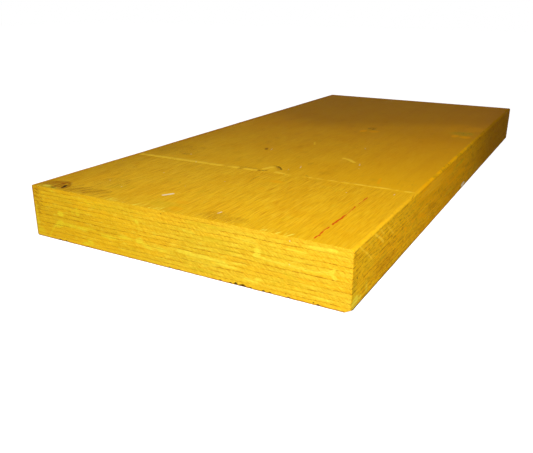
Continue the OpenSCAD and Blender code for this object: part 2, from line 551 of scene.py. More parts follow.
    @staticmethod
    def right_side() -> list[Patch | Stroke]:
        """Marks on the sawn right side.

        Returns:
            Marks placed from the front end and down from the upper face.
        """
        marks: list[Patch | Stroke] = [
            # the front corner and the scratches beside it
            *patches(LEMON, (6, 34, 12, 7, 1.0, -12), (14, 34.5, 6, 4, 0.7), (24.5, 32.5, 5, 9, 0.6, -8),
                     (3, 2, 7, 3, 0.5)),
            *patches(OLIVE, (4, 26, 8, 14, 0.7), (26, 18, 26, 9, 0.4, 20), (52, 23, 16, 5, 0.5)),
            *patches(BROWN, (4, 20, 9, 16, 0.3), (54, 30, 54, 13, 0.36)),
            *patches(DARK, (9, 37.6, 12, 1.2, 0.6)),
            *patches(DARK, (8, 20, 3.0, 1.1, 0.8, 15), sink=0.2),
            *strokes(RED, (1.0, 0.4, (5.5, 19.8), (9.5, 20.4))),
            *strokes(PALE, (1.3, 0.62, (9, 2), (20, 9.5), (32, 18)), (1.2, 0.6, (44, 3), (52, 9)),
                     (2.0, 0.66, (34, 3), (42, 7.5), (51, 13.5)), (1.4, 0.6, (57, 5), (71, 14.5)),
                     (0.9, 0.4, (0, 22), (12, 31)), (0.9, 0.36, (84, 2), (106, 18))),
            # the chipped band below the upper arris and the bright stretches under it
            *patches(ORANGE, (44, 9, 16, 9, 0.5, 38), (20, 6, 16, 5, 0.4, 30), (82, 20, 11, 3, 0.6, 12),
                     (98, 20, 9, 3, 0.7, 12), (117, 20, 14, 4, 0.6, 10), (138, 22, 26, 5, 0.75, 14),
                     (126, 11, 9, 3, 0.6), (160, 4, 66, 7, 1.0, 3), (196, 9, 96, 8, 0.7, 2),
                     (180, 8, 130, 13, 0.7), (80, 29, 16, 3, 0.4), (170, 19, 18, 8, 0.5),
                     (205, 13, 22, 8, 0.6, 10), (250, 12, 100, 20, 0.36), (215, 31, 60, 9, 0.4)),
            *strokes(ORANGE, (2.6, 1.0, (147, 4.6), (166, 5.7), (187, 6.1)),
                     (3.0, 1.3, (190, 6.3), (210, 7.4), (229, 8.9)),
                     (3.6, 0.9, (216, 15), (228, 19.6), (247, 19)),
                     (5.0, 0.75, (225, 19), (285, 20)), (5.0, 0.4, (285, 20), (330, 26))),
            *patches(PALE, (166, 7, 76, 9, 0.3), (205, 9, 60, 6, 0.26)),
            *strokes(PALE, (1.7, 0.34, (160, 3), (200, 4.2)), (1.9, 0.34, (158, 9.8), (192, 11.3)),
                     (1.7, 0.32, (111, 21.5), (122, 19.6)), (1.5, 0.32, (135, 19), (144, 19.3)),
                     (2.2, 0.34, (222, 11.6), (245, 12.6)), (2.0, 0.32, (283, 19.6), (300, 21))),
            *strokes(BROWN, (1.6, 0.26, (150, 2.8), (176, 3.2)), (2.0, 0.26, (184, 3), (208, 4)),
                     (1.5, 0.3, (124, 6), (132, 6.2)), (1.7, 0.3, (126, 18.4), (131, 18.4))),
            # further back
            *patches(BROWN, (176, 27, 30, 9, 0.3)),
            *patches(OLIVE, (262, 9.5, 40, 4, 0.75)),
            *strokes(OLIVE, (3.0, 0.5, (215, 26), (245, 27))),
            *patches(CHALK, (286, 35, 15, 4.4, 1.0)),
        ]
        for along in (14, 20, 26, 39, 62):
            marks += strokes(PALE, (0.8, 0.5, (along, 1), (along + 11, 9.5)))
        chance = np.random.default_rng(5)
        for along in range(110, 400, 23):
            top, run = chance.uniform(0, 8), chance.uniform(9, 17)
            foot = (along + run * 1.2, top + run)
            marks += strokes(PALE, (1.0, chance.uniform(0.1, 0.24), (along, top), foot))
        return marks

    def weight(self, face: Face, mark: Mark, first: Field, second: Field) -> Field:
        """The strongest mark of one kind at each place of a face.

        Args:
            face: The face that is looked at.
            mark: The kind of mark.
            first: Distance along the face's first direction.
            second: Distance along its second direction.

        Returns:
            Values from 0 to 1.
        """
        total = np.zeros(np.broadcast(first, second).shape)
        for entry in self.pages[face]:
            if entry.mark is mark:
                total = np.maximum(total, entry.weight(first, second))
        return total

    def sink(self, face: Face, first: Field, second: Field) -> Field:
        """How far the marks go into the wood.

        Args:
            face: The face that is looked at.
            first: Distance along the face's first direction.
            second: Distance along its second direction.

        Returns:
            Depths in millimetres.
        """
        total = np.zeros(np.broadcast(first, second).shape)
        for entry in self.pages[face]:
            if entry.sink:
                part = entry.weight(first, second) * entry.sink / entry.strength
                total = np.where(np.abs(part) > np.abs(total), part, total)
        return total


# ---------------------------------------------------------------------------------- worn surface


class WornShape:
    """What pressing, sawing and handling do to the beam's plain faces."""

    # Radii of the upright corners and of the left upper arris.
    END_ROUND = 0.4
    LEFT_ARRIS = 0.6
    # How far in from the rim the waves of the glue lines reach.
    LIFT_REACH = 10.0
    # How wide an opened glue line is on each side of its middle, and how deep along the scarf.
    GROOVE = 0.13
    SCARF_DEPTH = 0.16
    # The place, seen from the knocked corner, that the points in it move towards.
    KNOCK_HEART = (9.0, 14.0, 4.2)
    # Each knot's middle, its size and how far it pushes the grain aside.
    KNOTS = (((17, 6), 15, 7), ((130, 128), 12, 4), ((145, 328), 13, 5), ((239, 352), 12, 5))

    def __init__(self, sizes: BeamSizes, book: MarkBook) -> None:
        """Keeps the sizes and the marks, and seeds the noises.

        Args:
            sizes: Sizes of the beam.
            book: Marks on the beam.
        """
        self.sizes = sizes
        self.book = book
        self.waves = LatticeNoise(11)
        self.grain = LatticeNoise(12)
        self.sawing = LatticeNoise(13)
        self.glue = LatticeNoise(14)
        self.chips = LatticeNoise(15)

    def half_width_at(self, height: Field) -> Field:
        """Half the width at a height above the underside, with the eased arrises taken off."""
        low = rounding(self.sizes.lower_arris - height, self.sizes.lower_arris)
        return self.sizes.half_width - low - self.upper_rounding(height, self.sizes.upper_arris)

    def upper_rounding(self, height: Field, radius: float) -> Field:
        """How far an upper arris of some radius is cut back at a height."""
        return rounding(height - (self.sizes.thickness - radius), radius)

    def joint_line(self, x: Field) -> Field:
        """Where the joint crosses the upper face, a little out of square.

        Args:
            x: Place across the beam.

        Returns:
            Its y in millimetres.
        """
        part = (np.asarray(x, float) + self.sizes.half_width) / self.sizes.width
        skew = -3.6 * (1 - part) ** 1.5
        return self.sizes.joint + skew + 0.25 * (self.waves.at(part * 22, 3.0) - 1)

    def scarf_line(self, x: Field, height: Field) -> Field:
        """Where the scarf is at a place and a height inside the top veneer."""
        return self.joint_line(x) - self.sizes.scarf_slope * (self.sizes.thickness - height)

    def joint_lip(self, x: Field, y: Field) -> Field:
        """How much of the raised, pale lip of the joint is at each place of the upper face. Its pale colour
        is partly a painted highlight on the raised step.

        Args:
            x: Place across the beam.
            y: Place along it.

        Returns:
            0 away from the joint to 1 on its lip.
        """
        left = x + self.sizes.half_width
        kept = 1.0 + self.chips.layered(left / 4, 2.5, 3) - 0.45 * bell(left - 96, 8)
        kept = kept - bell(left - 107, 3) - 1.2 * bell(left - 130, 6) - 0.95 * bell(left - 153, 11)
        kept = kept - 0.5 * ease(left, 150, 168) + 0.4 * bell(left - 228, 16)
        reach = 2.7 - 1.2 * ease(left, 85, 150)
        gap = np.abs(y - self.joint_line(x) - 0.3 - 1.2 * ease(left, 60, 170))
        kept = kept * (0.55 * ease(left, 0, 8) + 0.45 * ease(left, 10, 45))
        return np.clip(kept, 0, 1) * ease(gap, reach * 1.2, reach * 0.6)

    def grain_bend(self, x: Field, y: Field) -> Field:
        """How far the grain of the upper face is pushed across, round its knots and in waves.

        Args:
            x: Place across the beam.
            y: Place along it.

        Returns:
            Shifts in millimetres.
        """
        left, front = x + self.sizes.half_width, y + self.sizes.half_length
        waver = ease(left, 140, 40) * 3.4 + 0.9
        bend = waver * self.grain.layered(left / 46, front / 95, 2)
        for knot, size, push in self.KNOTS:
            gap = left - knot[0]
            bend = bend - push * np.tanh(gap / 5) * bell(gap, size) * bell(front - knot[1], size * 1.5)
        return bend

    def upper_relief(self, x: Field, y: Field) -> Field:
        """Depth of the upper face under its highest points.

        Args:
            x: Place across the beam.
            y: Place along it.

        Returns:
            Depths in millimetres.
        """
        left, front = x + self.sizes.half_width, y + self.sizes.half_length
        across = left + self.grain_bend(x, y)
        past = y - self.joint_line(x)
        rough = 1.0 - 0.55 * ease(past, 0, 12)
        streak = self.grain.layered(across / 1.9, front / 60, 2)
        depth = 0.12 + 0.14 * bell(past, 40) + 0.06 * streak * rough
        depth = depth + 0.04 * self.waves.at(left / 30, front / 50)
        depth = depth - 0.28 * self.joint_lip(x, y) + 0.10 * bell(past + 3.0, 1.2)
        sink = self.book.sink(Face.UPPER, left, front)
        return np.clip(np.clip(depth, 0.02, None) + sink, 0.01, None)

    def lower_relief(self, x: Field, y: Field) -> Field:
        """Height of the underside above its lowest points.

        Args:
            x: Place across the beam.
            y: Place along it.

        Returns:
            Heights in millimetres.
        """
        streak = self.grain.layered(x / 2.6 + 40, y / 70, 2)
        depth = 0.12 + 0.06 * streak + 0.04 * self.waves.at(x / 33 + 9, y / 60)
        return 0.01 + depth * ease(self.sizes.inside(x, y), 0, 6)

    def glue_lift(self, line: int, x: Field, y: Field) -> Field:
        """How far a glue line, or the outer face it counts as, is from its plain height.

        Args:
            line: 0 at the underside, up to the number of veneers at the upper face.
            x: Place across the beam.
            y: Place along it.

        Returns:
            Lifts in millimetres, fading to nothing inside the beam.
        """
        sizes = self.sizes
        if line == 0:
            return self.lower_relief(x, y)
        if line == sizes.count:
            return -self.upper_relief(x, y)
        left, depth = x + sizes.half_width, sizes.thickness - line * sizes.veneer
        lift = 0.42 * self.waves.at(left / 34, y / 110 + 0.13 * line) + 0.6 * ease(depth, 34, 8)
        lift = lift + 0.26 * self.waves.at(left / 13 + 31 * line, y / 45)
        lift = lift + 0.09 * self.waves.at(left / 4.5 + 17 * line, y / 16)
        hump = bell(left - 173, 16) * bell(depth - 26, 10) * bell(y + sizes.half_length, 60)
        return (lift + 0.95 * hump) * np.clip(1 - sizes.inside(x, y) / self.LIFT_REACH, 0, 1)

    def side_inset(self, side: int, y: Field, height: Field, layer: Field) -> Field:
        """Depth of a sawn side under its highest points.

        Args:
            side: 1 on the right, -1 on the left.
            y: Place along the beam.
            height: Height above the underside.
            layer: Number of veneers below, with the part reached in the present one.

        Returns:
            Depths in millimetres.
        """
        sizes = self.sizes
        front, depth = y + sizes.half_length, sizes.thickness - height
        shift = 40 * side
        inset = 0.14 + 0.06 * self.sawing.at(sizes.ply(layer) * 3.7 + shift, front / 160)
        cut = front * SAW_ALONG - depth * SAW_UP
        ridge = ease(self.sawing.at(cut / 4.6 + shift, 0.5 + front / 300), 0.25, 0.75)
        inset = inset - 0.09 * ridge
        inset = inset + 0.035 * self.sawing.layered(front / 9 + shift, layer * 2.2, 2)
        inset = np.clip(inset, 0.01, None)
        if side > 0:
            return inset + self.book.sink(Face.RIGHT_SIDE, front, depth)
        blunt = self.upper_rounding(height, sizes.upper_arris)
        return inset - blunt + self.upper_rounding(height, self.LEFT_ARRIS)

    def end_inset(self, end: int, x: Field, height: Field, layer: Field) -> Field:
        """Depth of a crosscut end under its highest points.

        Args:
            end: 1 at the front, -1 at the rear.
            x: Place across the beam.
            height: Height above the underside.
            layer: Number of veneers below, with the part reached in the present one.

        Returns:
            Depths in millimetres.
        """
        sizes = self.sizes
        left, depth = x + sizes.half_width, sizes.thickness - height
        shift = 60 * end
        inset = 0.12 + 0.05 * self.sawing.at(sizes.ply(layer) * 5.3 + shift, left / 40)
        inset = inset + 0.05 * self.sawing.layered(left / 1.6 + shift, layer * 3.1, 2)
        inset = inset + 0.03 * self.sawing.at((left + depth) / 2.4, 7.5 + shift)
        worn = 0.26 + 0.2 * self.chips.at(left / 5 + shift, 8.5)
        for top_gap in (depth, height):
            inset = inset + rounding(worn - top_gap, worn)
        inset = np.clip(inset, 0.01, None)
        if end > 0:
            inset = inset + self.book.sink(Face.FRONT_END, left, depth)
        return inset

    def groove(self, line: int, place: Field, gap: Field) -> Field:
        """How far a glue line is opened on a sawn face.

        Args:
            line: Number of the glue line.
            place: Distance along the rim.
            gap: Distance from the glue line.

        Returns:
            Depths in millimetres.
        """
        if line in (0, self.sizes.count):
            return np.zeros(np.broadcast(place, gap).shape)
        open_part = 0.03 + 0.09 * ease(self.glue.at(place / 8, line * 5.1), -0.1, 0.8)
        return open_part * bell(gap, self.GROOVE)

    def knocked(self, points: Field) -> Field:
        """Moves what lies in the knocked-off corner back to the broken face.

        Args:
            points: Rows of x, y and z.

        Returns:
            The points, moved where they have to be.
        """
        sizes, heart = self.sizes, np.array(self.KNOCK_HEART)
        corner, inwards = np.array([sizes.half_width, -sizes.half_length, 0.0]), np.array([-1.0, 1.0, 1.0])
        local = (points - corner) * inwards
        reach = (local / sizes.knock).sum(axis=1)
        target = (heart / sizes.knock).sum()
        rough = 1.0 + 0.10 * self.chips.layered(local[:, 0] / 1.1, local[:, 1] / 1.6 + local[:, 2], 2)
        wanted = np.clip(rough, 1.0, None)
        part = np.clip((wanted - reach) / (target - reach), 0, 1)[:, None]
        moved = local + (heart - local) * np.where((reach < wanted)[:, None], part, 0)
        return corner + moved * inwards


# ------------------------------------------------------------------------------------- mesh work


class Zone(Enum):
    """Which part of a sheet a face belongs to, in the order of its material slots."""

    WIDE_FACE = 0
    CROSSCUT = 1
    SAWN_SIDE = 2
    GLUED = 3


def steps(length: float, pitch: float, growth: float = 0.0) -> Field:
    """Fractions along an edge, with extra ones close to both of its corners.

    Args:
        length: Length of the edge.
        pitch: Rough distance between two steps.
        growth: How much longer the steps get towards the end, from 0 to 0.9.

    Returns:
        Rising fractions from 0 to 1.
    """
    near_corner, least = np.array([0.28, 0.62]) / length, 0.12 / length
    even = np.linspace(0, 1, max(2, round(length / pitch)) + 1)
    even = (1 - growth) * even + growth * even ** 2
    every = np.unique(np.concatenate([even, near_corner, 1 - near_corner]))
    return every[np.concatenate([[True], np.diff(every) > least])]


def linked(name: str, data: bpy.types.ID) -> bpy.types.Object:
    """Makes an object from its data and links it into the scene.

    Args:
        name: Name of the object.
        data: What the object shows, such as a mesh or a lamp.

    Returns:
        The object.
    """
    thing = bpy.data.objects.new(name, data)
    bpy.context.scene.collection.objects.link(thing)
    return thing


class MeshDraft:
    """Collects points, faces and their places on the baked picture, then makes the object."""

    def __init__(self) -> None:
        """Starts empty."""
        self.points: list[Field] = []
        self.values: dict[str, list[Field]] = {}
        self.sizes: list[Field] = []
        self.corners: list[Field] = []
        self.charts: list[Field] = []
        self.zones: list[Field] = []
        self.count = 0

    def add_points(self, points: Field, values: Mapping[str, Field]) -> Field:
        """Adds points with the values that the finishes read.

        Args:
            points: Rows of x, y and z in millimetres.
            values: One array for each named value.

        Returns:
            The numbers of the new points.
        """
        self.points.append(points)
        for name, array in values.items():
            self.values.setdefault(name, []).append(array)
        numbers = np.arange(self.count, self.count + len(points))
        self.count += len(points)
        return numbers

    def add_faces(self, corners: Field, chart: Field, zone: Zone) -> None:
        """Adds faces that all have the same number of corners.

        Args:
            corners: One row of point numbers for each face.
            chart: The place of each corner on the picture.
            zone: The part of the sheet that they belong to.
        """
        self.sizes.append(np.full(len(corners), corners.shape[1]))
        self.corners.append(corners.reshape(-1))
        self.charts.append(chart.reshape(-1, 2))
        self.zones.append(np.full(len(corners), zone.value))

    def add_grid(self, numbers: Field, chart: Field, zone: Zone, flip: bool = False) -> None:
        """Adds the quads between the rows and columns of a grid of points.

        Args:
            numbers: Point numbers, one row of the grid after another.
            chart: The place of each grid point on the picture.
            zone: The part of the sheet that they belong to.
            flip: Whether the quads face the other way.
        """
        turn = [(0, 0), (0, 1), (1, 1), (1, 0)]
        if flip:
            turn.reverse()
        rows, columns = numbers.shape
        corners = [numbers[r:rows - 1 + r, c:columns - 1 + c] for r, c in turn]
        places = [chart[r:rows - 1 + r, c:columns - 1 + c] for r, c in turn]
        self.add_faces(np.stack(corners, -1).reshape(-1, 4), np.stack(places, 2).reshape(-1, 4, 2), zone)

    def make(self, name: str, materials: Sequence[bpy.types.Material]) -> bpy.types.Object:
        """Makes the object.

        Args:
            name: Name of the piece.
            materials: One material for each zone, in order.

        Returns:
            The new object, linked into the scene.
        """
        mesh = bpy.data.meshes.new(name)
        corners = np.concatenate(self.corners)
        sizes = np.concatenate(self.sizes)
        mesh.vertices.add(self.count)
        mesh.vertices.foreach_set("co", (np.concatenate(self.points) * MM).astype(np.float32).ravel())
        mesh.loops.add(len(corners))
        mesh.loops.foreach_set("vertex_index", corners.astype(np.int32))
        mesh.polygons.add(len(sizes))
        starts = np.concatenate([[0], np.cumsum(sizes)[:-1]])
        mesh.polygons.foreach_set("loop_start", starts.astype(np.int32))
        mesh.polygons.foreach_set("material_index", np.concatenate(self.zones).astype(np.int32))
        mesh.update(calc_edges=True)
        layer = mesh.uv_layers.new(name="OFBake")
        layer.uv.foreach_set("vector", np.concatenate(self.charts).astype(np.float32).ravel())
        for value_name, arrays in self.values.items():
            data = mesh.attributes.new(value_name, "FLOAT", "POINT")
            data.data.foreach_set("value", np.concatenate(arrays).astype(np.float32))
        for material in materials:
            mesh.materials.append(material)
        mesh.shade_smooth()
        mesh.set_sharp_from_angle(angle=math.radians(50))
        mesh.validate(verbose=False)
        return linked(name, mesh)


# ---------------------------------------------------------------------------------------- sheets


class EndCut(Enum):
    """How a sheet ends along the grain."""

    SQUARE = "square"
    SCARF = "scarf"


class FaceShown(Enum):
    """Whether a sheet's wide face is seen or glued to its neighbour."""

    SEEN = "seen"
    GLUED = "glued"


class RecordSlot(Enum):
    """The record's material slots."""

    FACE = "face_veneer"
    CORE = "core_veneer"


def part_starts(fractions: Sequence[Field]) -> list[int]:
    """Where the four parts of a loop start and where it ends, from the steps along each part."""
    return [0, *np.cumsum([len(part) - 1 for part in fractions]).tolist()]


def spread(room: Sequence[float], across: Field, up: Field) -> Field:
    """Places in a room on the picture, given as its left, bottom, right and top, from two fractions."""
    return np.stack([room[0] + (room[2] - room[0]) * across, room[1] + (room[3] - room[1]) * up], -1)


@dataclass
class Rim:
    """The outer band of a sheet: loops of points from its underside to its top."""

    numbers: Field
    points: Field
    fractions: tuple[Field, Field, Field, Field]

    @property
    def starts(self) -> list[int]:
        """Where the front, right, rear and left parts of a loop start, and where it ends."""
        return part_starts(self.fractions)

    @property
    def parts(self) -> list[Field]:
        """Parts the loop's columns by side.

        Returns:
            Columns of the front, right, rear and left, running to the right or to the rear.
        """
        ring = np.append(np.arange(self.starts[-1]), 0)
        front, right, rear, left = (ring[start:end + 1] for start, end in zip(self.starts, self.starts[1:]))
        return [front, right, rear[::-1], left[::-1]]


@dataclass
class VeneerSheet:
    """One sheet of peeled veneer, drawn as a closed mesh that stands for its solid."""

    node: str
    piece_name: str
    number: int
    slot: RecordSlot
    sizes: BeamSizes
    shape: WornShape
    book: MarkBook
    materials: Sequence[bpy.types.Material]
    front_cut: EndCut = EndCut.SQUARE
    rear_cut: EndCut = EndCut.SQUARE
    upper: FaceShown = FaceShown.GLUED
    lower: FaceShown = FaceShown.GLUED
    front_pitch: float = 0.65
    rear_pitch: float = 1.3
    side_pitch: float = 1.3
    far_side_pitch: float = 2.6
    growth: float = 0.0
    rim_rows: int = 12
    rim_room: tuple[float, float] = (0.08, 0.98)
    draft: MeshDraft = field(default_factory=MeshDraft)

    # Widths of the rings that join the rim to a glued face and to the underside's grid.
    GLUED_RING = 10.0
    UNDER_RING = 4.0
    UNDER_COLUMNS = 129
    UNDER_ROWS = 141
    # On the picture, the place of a glued face, given as left, bottom, right and top.
    GLUED_ROOM = (0.01, 0.01, 0.09, 0.06)
    # On the picture, the rim's rows are a little longer than their quads, and each row leaves
    # room below and above what it holds.
    ROW_SLACK = 1.03
    ROW_FOOT = 0.09
    ROW_FILL = 0.82

    @property
    def floor(self) -> float:
        """Plain height of the sheet's underside."""
        return (self.number - 1) * self.sizes.veneer

    def cut(self, end: int) -> EndCut:
        """How the sheet ends: 1 asks for the front, -1 for the rear."""
        return self.front_cut if end > 0 else self.rear_cut

    def edge_y(self, end: int, x: Field, height: Field) -> Field:
        """Plain place of the sheet's edge at one end.

        Args:
            end: 1 at the front, -1 at the rear.
            x: Place across the beam.
            height: Height above the underside of the beam.

        Returns:
            Its y in millimetres.
        """
        if self.cut(end) is EndCut.SCARF:
            return self.shape.scarf_line(x, height)
        return np.full(np.broadcast(x, height).shape, -end * self.sizes.half_length)

    @property
    def run(self) -> float:
        """Length of the sheet's underside along the middle of the beam."""
        front, rear = (float(self.edge_y(end, np.zeros(1), np.full(1, self.floor))[0]) for end in (1, -1))
        return rear - front

    def row_fractions(self) -> Field:
        """Levels of the rim's loops, as parts of the sheet's thickness.

        Returns:
            Rising fractions from 0 to 1.
        """
        veneer = self.sizes.veneer
        levels = [0.0, 0.06, 0.2, 0.5, 0.8, 0.94, 1.0]
        if self.upper is FaceShown.SEEN:
            radius = self.sizes.upper_arris
            arc = [1 - radius * (1 - math.sin(math.radians(a))) / veneer for a in (0, 16, 32, 46, 60, 75, 90)]
            levels = [0.0, 0.06, 0.2] + arc
        if self.lower is FaceShown.SEEN:
            radius = self.sizes.lower_arris
            arc = [radius * (1 - math.sin(math.radians(a))) / veneer for a in (90, 72, 54, 36, 18, 0)]
            levels = arc + [0.65, 0.8, 0.94, 1.0]
        return np.array(levels)

    def edge_fractions(self) -> tuple[Field, Field, Field, Field]:
        """Steps along the front, right, rear and left edges.

        Returns:
            Four rising arrays from 0 to 1.
        """
        front = steps(self.sizes.width, self.front_pitch)
        right = steps(self.run, self.side_pitch, self.growth)
        if FaceShown.SEEN in (self.upper, self.lower):
            return front, right, 1 - front[::-1], 1 - right[::-1]
        return front, right, steps(self.sizes.width, self.rear_pitch), steps(self.run, self.far_side_pitch)

    def marks_at(self, face: Face | None, first: Field, second: Field) -> dict[str, Field]:
        """Weights of all the kinds of mark on one face, with the pale lip of the joint, partly a painted
        highlight on its raised step, on the upper one.

        Args:
            face: The face, or None for a face without marks.
            first: Distance along the face's first direction.
            second: Distance along its second direction.

        Returns:
            One array for each kind of mark.
        """
        if face is None:
            return {mark.value: np.zeros(np.broadcast(first, second).shape) for mark in Mark}
        weights = {mark.value: self.book.weight(face, mark, first, second) for mark in Mark}
        if face is Face.UPPER:
            lip = self.shape.joint_lip(first - self.sizes.half_width, second - self.sizes.half_length)
            weights[PALE.value] = np.maximum(weights[PALE.value], lip)
        return weights

    def plain_rim(self, fractions: Sequence[Field], height: Field, half: Field) -> tuple[Field, Field]:
        """Places of the rim's points before wear.

        Args:
            fractions: Steps along the four edges.
            height: Heights of the loops above the underside of the beam.
            half: Half widths at those heights.

        Returns:
            x and y, one row for each loop.
        """
        front, right, rear, left = (part[:-1][None, :] for part in fractions)
        front_x = -half + 2 * half * front
        rear_x = half - 2 * half * rear
        start_r, end_r = self.edge_y(1, half, height), self.edge_y(-1, half, height)
        start_l, end_l = self.edge_y(1, -half, height), self.edge_y(-1, -half, height)
        x = [front_x, half * np.ones_like(right), rear_x, -half * np.ones_like(left)]
        y = [self.edge_y(1, front_x, height), start_r + (end_r - start_r) * right,
             self.edge_y(-1, rear_x, height), end_l + (start_l - end_l) * left]
        return np.hstack(x), np.hstack(y)

    def build_rim(self) -> Rim:
        """Draws the loops of the rim.

        Returns:
            The rim's point numbers, places and steps.
        """
        sizes, shape = self.sizes, self.shape
        fractions = self.edge_fractions()
        levels = self.row_fractions()[:, None]
        height = self.floor + levels * sizes.veneer
        half = shape.half_width_at(height)
        x, y = self.plain_rim(fractions, height, half)
        layer = np.broadcast_to(self.number - 1 + levels, x.shape)
        tall = np.broadcast_to(height, x.shape)
        starts = part_starts(fractions)
        column = np.arange(starts[-1])
        on_front, on_right, on_rear, on_left = (
            ((column >= start) & (column <= end))[None, :] for start, end in zip(starts, starts[1:])
        )
        on_left[0, 0] = True

        gap_low, gap_high = levels * sizes.veneer, (1 - levels) * sizes.veneer
        glue = np.minimum(FAR_FROM_GLUE if self.number == 1 else gap_low,
                          FAR_FROM_GLUE if self.number == sizes.count else gap_high)
        glue = np.broadcast_to(glue, x.shape)
        around = self.distance_round(fractions)[None, :-1]
        opened = shape.groove(self.number - 1, around, gap_low) + shape.groove(self.number, around, gap_high)
        if EndCut.SCARF in (self.front_cut, self.rear_cut):
            to_scarf = np.abs(y - shape.scarf_line(x, tall)) / math.hypot(1, sizes.scarf_slope)
            glue = np.where(on_right | on_left, np.minimum(glue, to_scarf), glue)
            below_arris = levels < 0.95
            opened = np.maximum(opened, shape.SCARF_DEPTH * bell(to_scarf, shape.GROOVE) * below_arris)

        end_round, side_round = self.corner_rounding(x, y, half)
        shift_x, shift_y = np.zeros_like(x), np.zeros_like(x)
        for side, on_side in ((1, on_right), (-1, on_left)):
            inset = shape.side_inset(side, y, tall, layer) + opened + side_round
            shift_x = shift_x - side * np.where(on_side, inset, 0)
        for end, on_end in ((1, on_front), (-1, on_rear)):
            if self.cut(end) is EndCut.SQUARE:
                inset = shape.end_inset(end, x, tall, layer) + opened + end_round
                shift_y = shift_y + end * np.where(on_end, inset, 0)
        low_z = self.floor + shape.glue_lift(self.number - 1, x, y)
        high_z = self.floor + sizes.veneer + shape.glue_lift(self.number, x, y)
        z = low_z + levels * (high_z - low_z)
        points = np.stack([x + shift_x, y + shift_y, z], -1).reshape(-1, 3)
        if self.number == 1:
            points = shape.knocked(points)
        values = self.rim_values(x, y, tall, layer, glue, on_front, on_right)
        numbers = self.draft.add_points(points, values).reshape(x.shape)
        return Rim(numbers, points.reshape(*x.shape, 3), fractions)

    def corner_rounding(self, x: Field, y: Field, half: Field) -> tuple[Field, Field]:
        """Rounds the upright corners a little.

        Args:
            x: Places across the beam.
            y: Places along it.
            half: Half widths at each level.

        Returns:
            Insets of the ends and insets of the sides.
        """
        radius, touching, shared = self.shape.END_ROUND, 1e-6, 0.29
        from_side = half - np.abs(x)
        from_end = np.full(x.shape, np.inf)
        for end in (1, -1):
            if self.cut(end) is EndCut.SQUARE:
                from_end = np.minimum(from_end, self.sizes.half_length + end * y)
        insets = []
        for own, other in ((from_side, from_end), (from_end, from_side)):
            rounded = np.where(own < touching, radius * shared, rounding(radius - own, radius))
            insets.append(np.where(other < touching, rounded, 0))
        return insets[0], insets[1]

    def distance_round(self, fractions: Sequence[Field]) -> Field:
        """Distance round the sheet from its front left corner, at each step of a loop.

        Args:
            fractions: Steps along the four edges.

        Returns:
            Distances in millimetres, one more than there are steps.
        """
        lengths = (self.sizes.width, self.run) * 2
        starts = np.cumsum((0.0, *lengths))
        parts = [start + part[:-1] * length for start, part, length in zip(starts, fractions, lengths)]
        return np.append(np.concatenate(parts), starts[-1])

    def rim_values(self, x: Field, y: Field, height: Field, layer: Field, glue: Field,
                   on_front: Field, on_right: Field) -> dict[str, Field]:
        """What the finishes read on the rim.

        Args:
            x: Places across the beam.
            y: Places along it.
            height: Heights above the underside of the beam.
            layer: Veneers below each point.
            glue: Distances from the nearest glue line.
            on_front: Which columns are on the front end.
            on_right: Which columns are on the right side.

        Returns:
            One flat array for each value.
        """
        sizes = self.sizes
        left, front, depth = x + sizes.half_width, y + sizes.half_length, sizes.thickness - height
        on_end = self.marks_at(Face.FRONT_END, left, depth)
        on_side = self.marks_at(Face.RIGHT_SIDE, front, depth)
        on_top = self.marks_at(Face.UPPER, left, front)
        use_front = on_front & (self.front_cut is EndCut.SQUARE)
        values: dict[str, Field] = {}
        for name in on_top:
            weight = np.where(use_front, on_end[name], np.where(on_right, on_side[name], 0))
            if self.upper is FaceShown.SEEN:
                weight[-1] = np.maximum(weight[-1], on_top[name][-1])
            values[name] = weight.ravel()
        values["bend"] = self.shape.grain_bend(x, y).ravel()
        values["layer"] = np.clip(layer, self.number - 1 + 1e-3, self.number - 1e-3).ravel()
        values["glue_gap"] = glue.ravel()
        return values

    def rim_chart(self, rim: Rim) -> Field:
        """Lays the rim out in rows on the baked picture.

        Args:
            rim: The rim.

        Returns:
            The place of each corner of each quad: levels, columns, four corners, two figures.
        """
        around = self.distance_round(rim.fractions)
        levels = self.row_fractions()
        length = around[-1] / self.rim_rows * (1 + 1e-6)
        row = np.floor(around[:-1] / length)
        low, high = self.rim_room
        tall = (high - low) / self.rim_rows
        start, end = ((part - row * length) / (length * self.ROW_SLACK) for part in (around[:-1], around[1:]))
        chart = np.zeros((len(levels) - 1, len(around) - 1, 4, 2))
        corners = ((start, levels[:-1]), (end, levels[:-1]), (end, levels[1:]), (start, levels[1:]))
        for corner, (across, level) in enumerate(corners):
            up = row[None, :] + self.ROW_FOOT + self.ROW_FILL * level[:, None]
            chart[:, :, corner, 0] = 0.005 + 0.99 * across[None, :]
            chart[:, :, corner, 1] = low + tall * up
        return chart

    def add_rim_faces(self, rim: Rim) -> None:
        """Adds the quads of the rim, with the zone of each of its four parts.

        Args:
            rim: The rim, with the numbers of its points.
        """
        chart = self.rim_chart(rim)
        loop = np.hstack([rim.numbers, rim.numbers[:, :1]])
        corners = np.stack([loop[:-1, :-1], loop[:-1, 1:], loop[1:, 1:], loop[1:, :-1]], -1)
        front, rear = (Zone.CROSSCUT if self.cut(end) is EndCut.SQUARE else Zone.GLUED for end in (1, -1))
        zones = (front, Zone.SAWN_SIDE, rear, Zone.SAWN_SIDE)
        for zone, start, end in zip(zones, rim.starts, rim.starts[1:]):
            self.draft.add_faces(corners[:, start:end].reshape(-1, 4),
                                 chart[:, start:end].reshape(-1, 4, 2), zone)

    def small_chart(self, points: Field) -> Field:
        """A small place on the picture for a face that is glued out of sight."""
        part = self.sizes.in_plan(points)
        return spread(self.GLUED_ROOM, part[..., 0], part[..., 1])

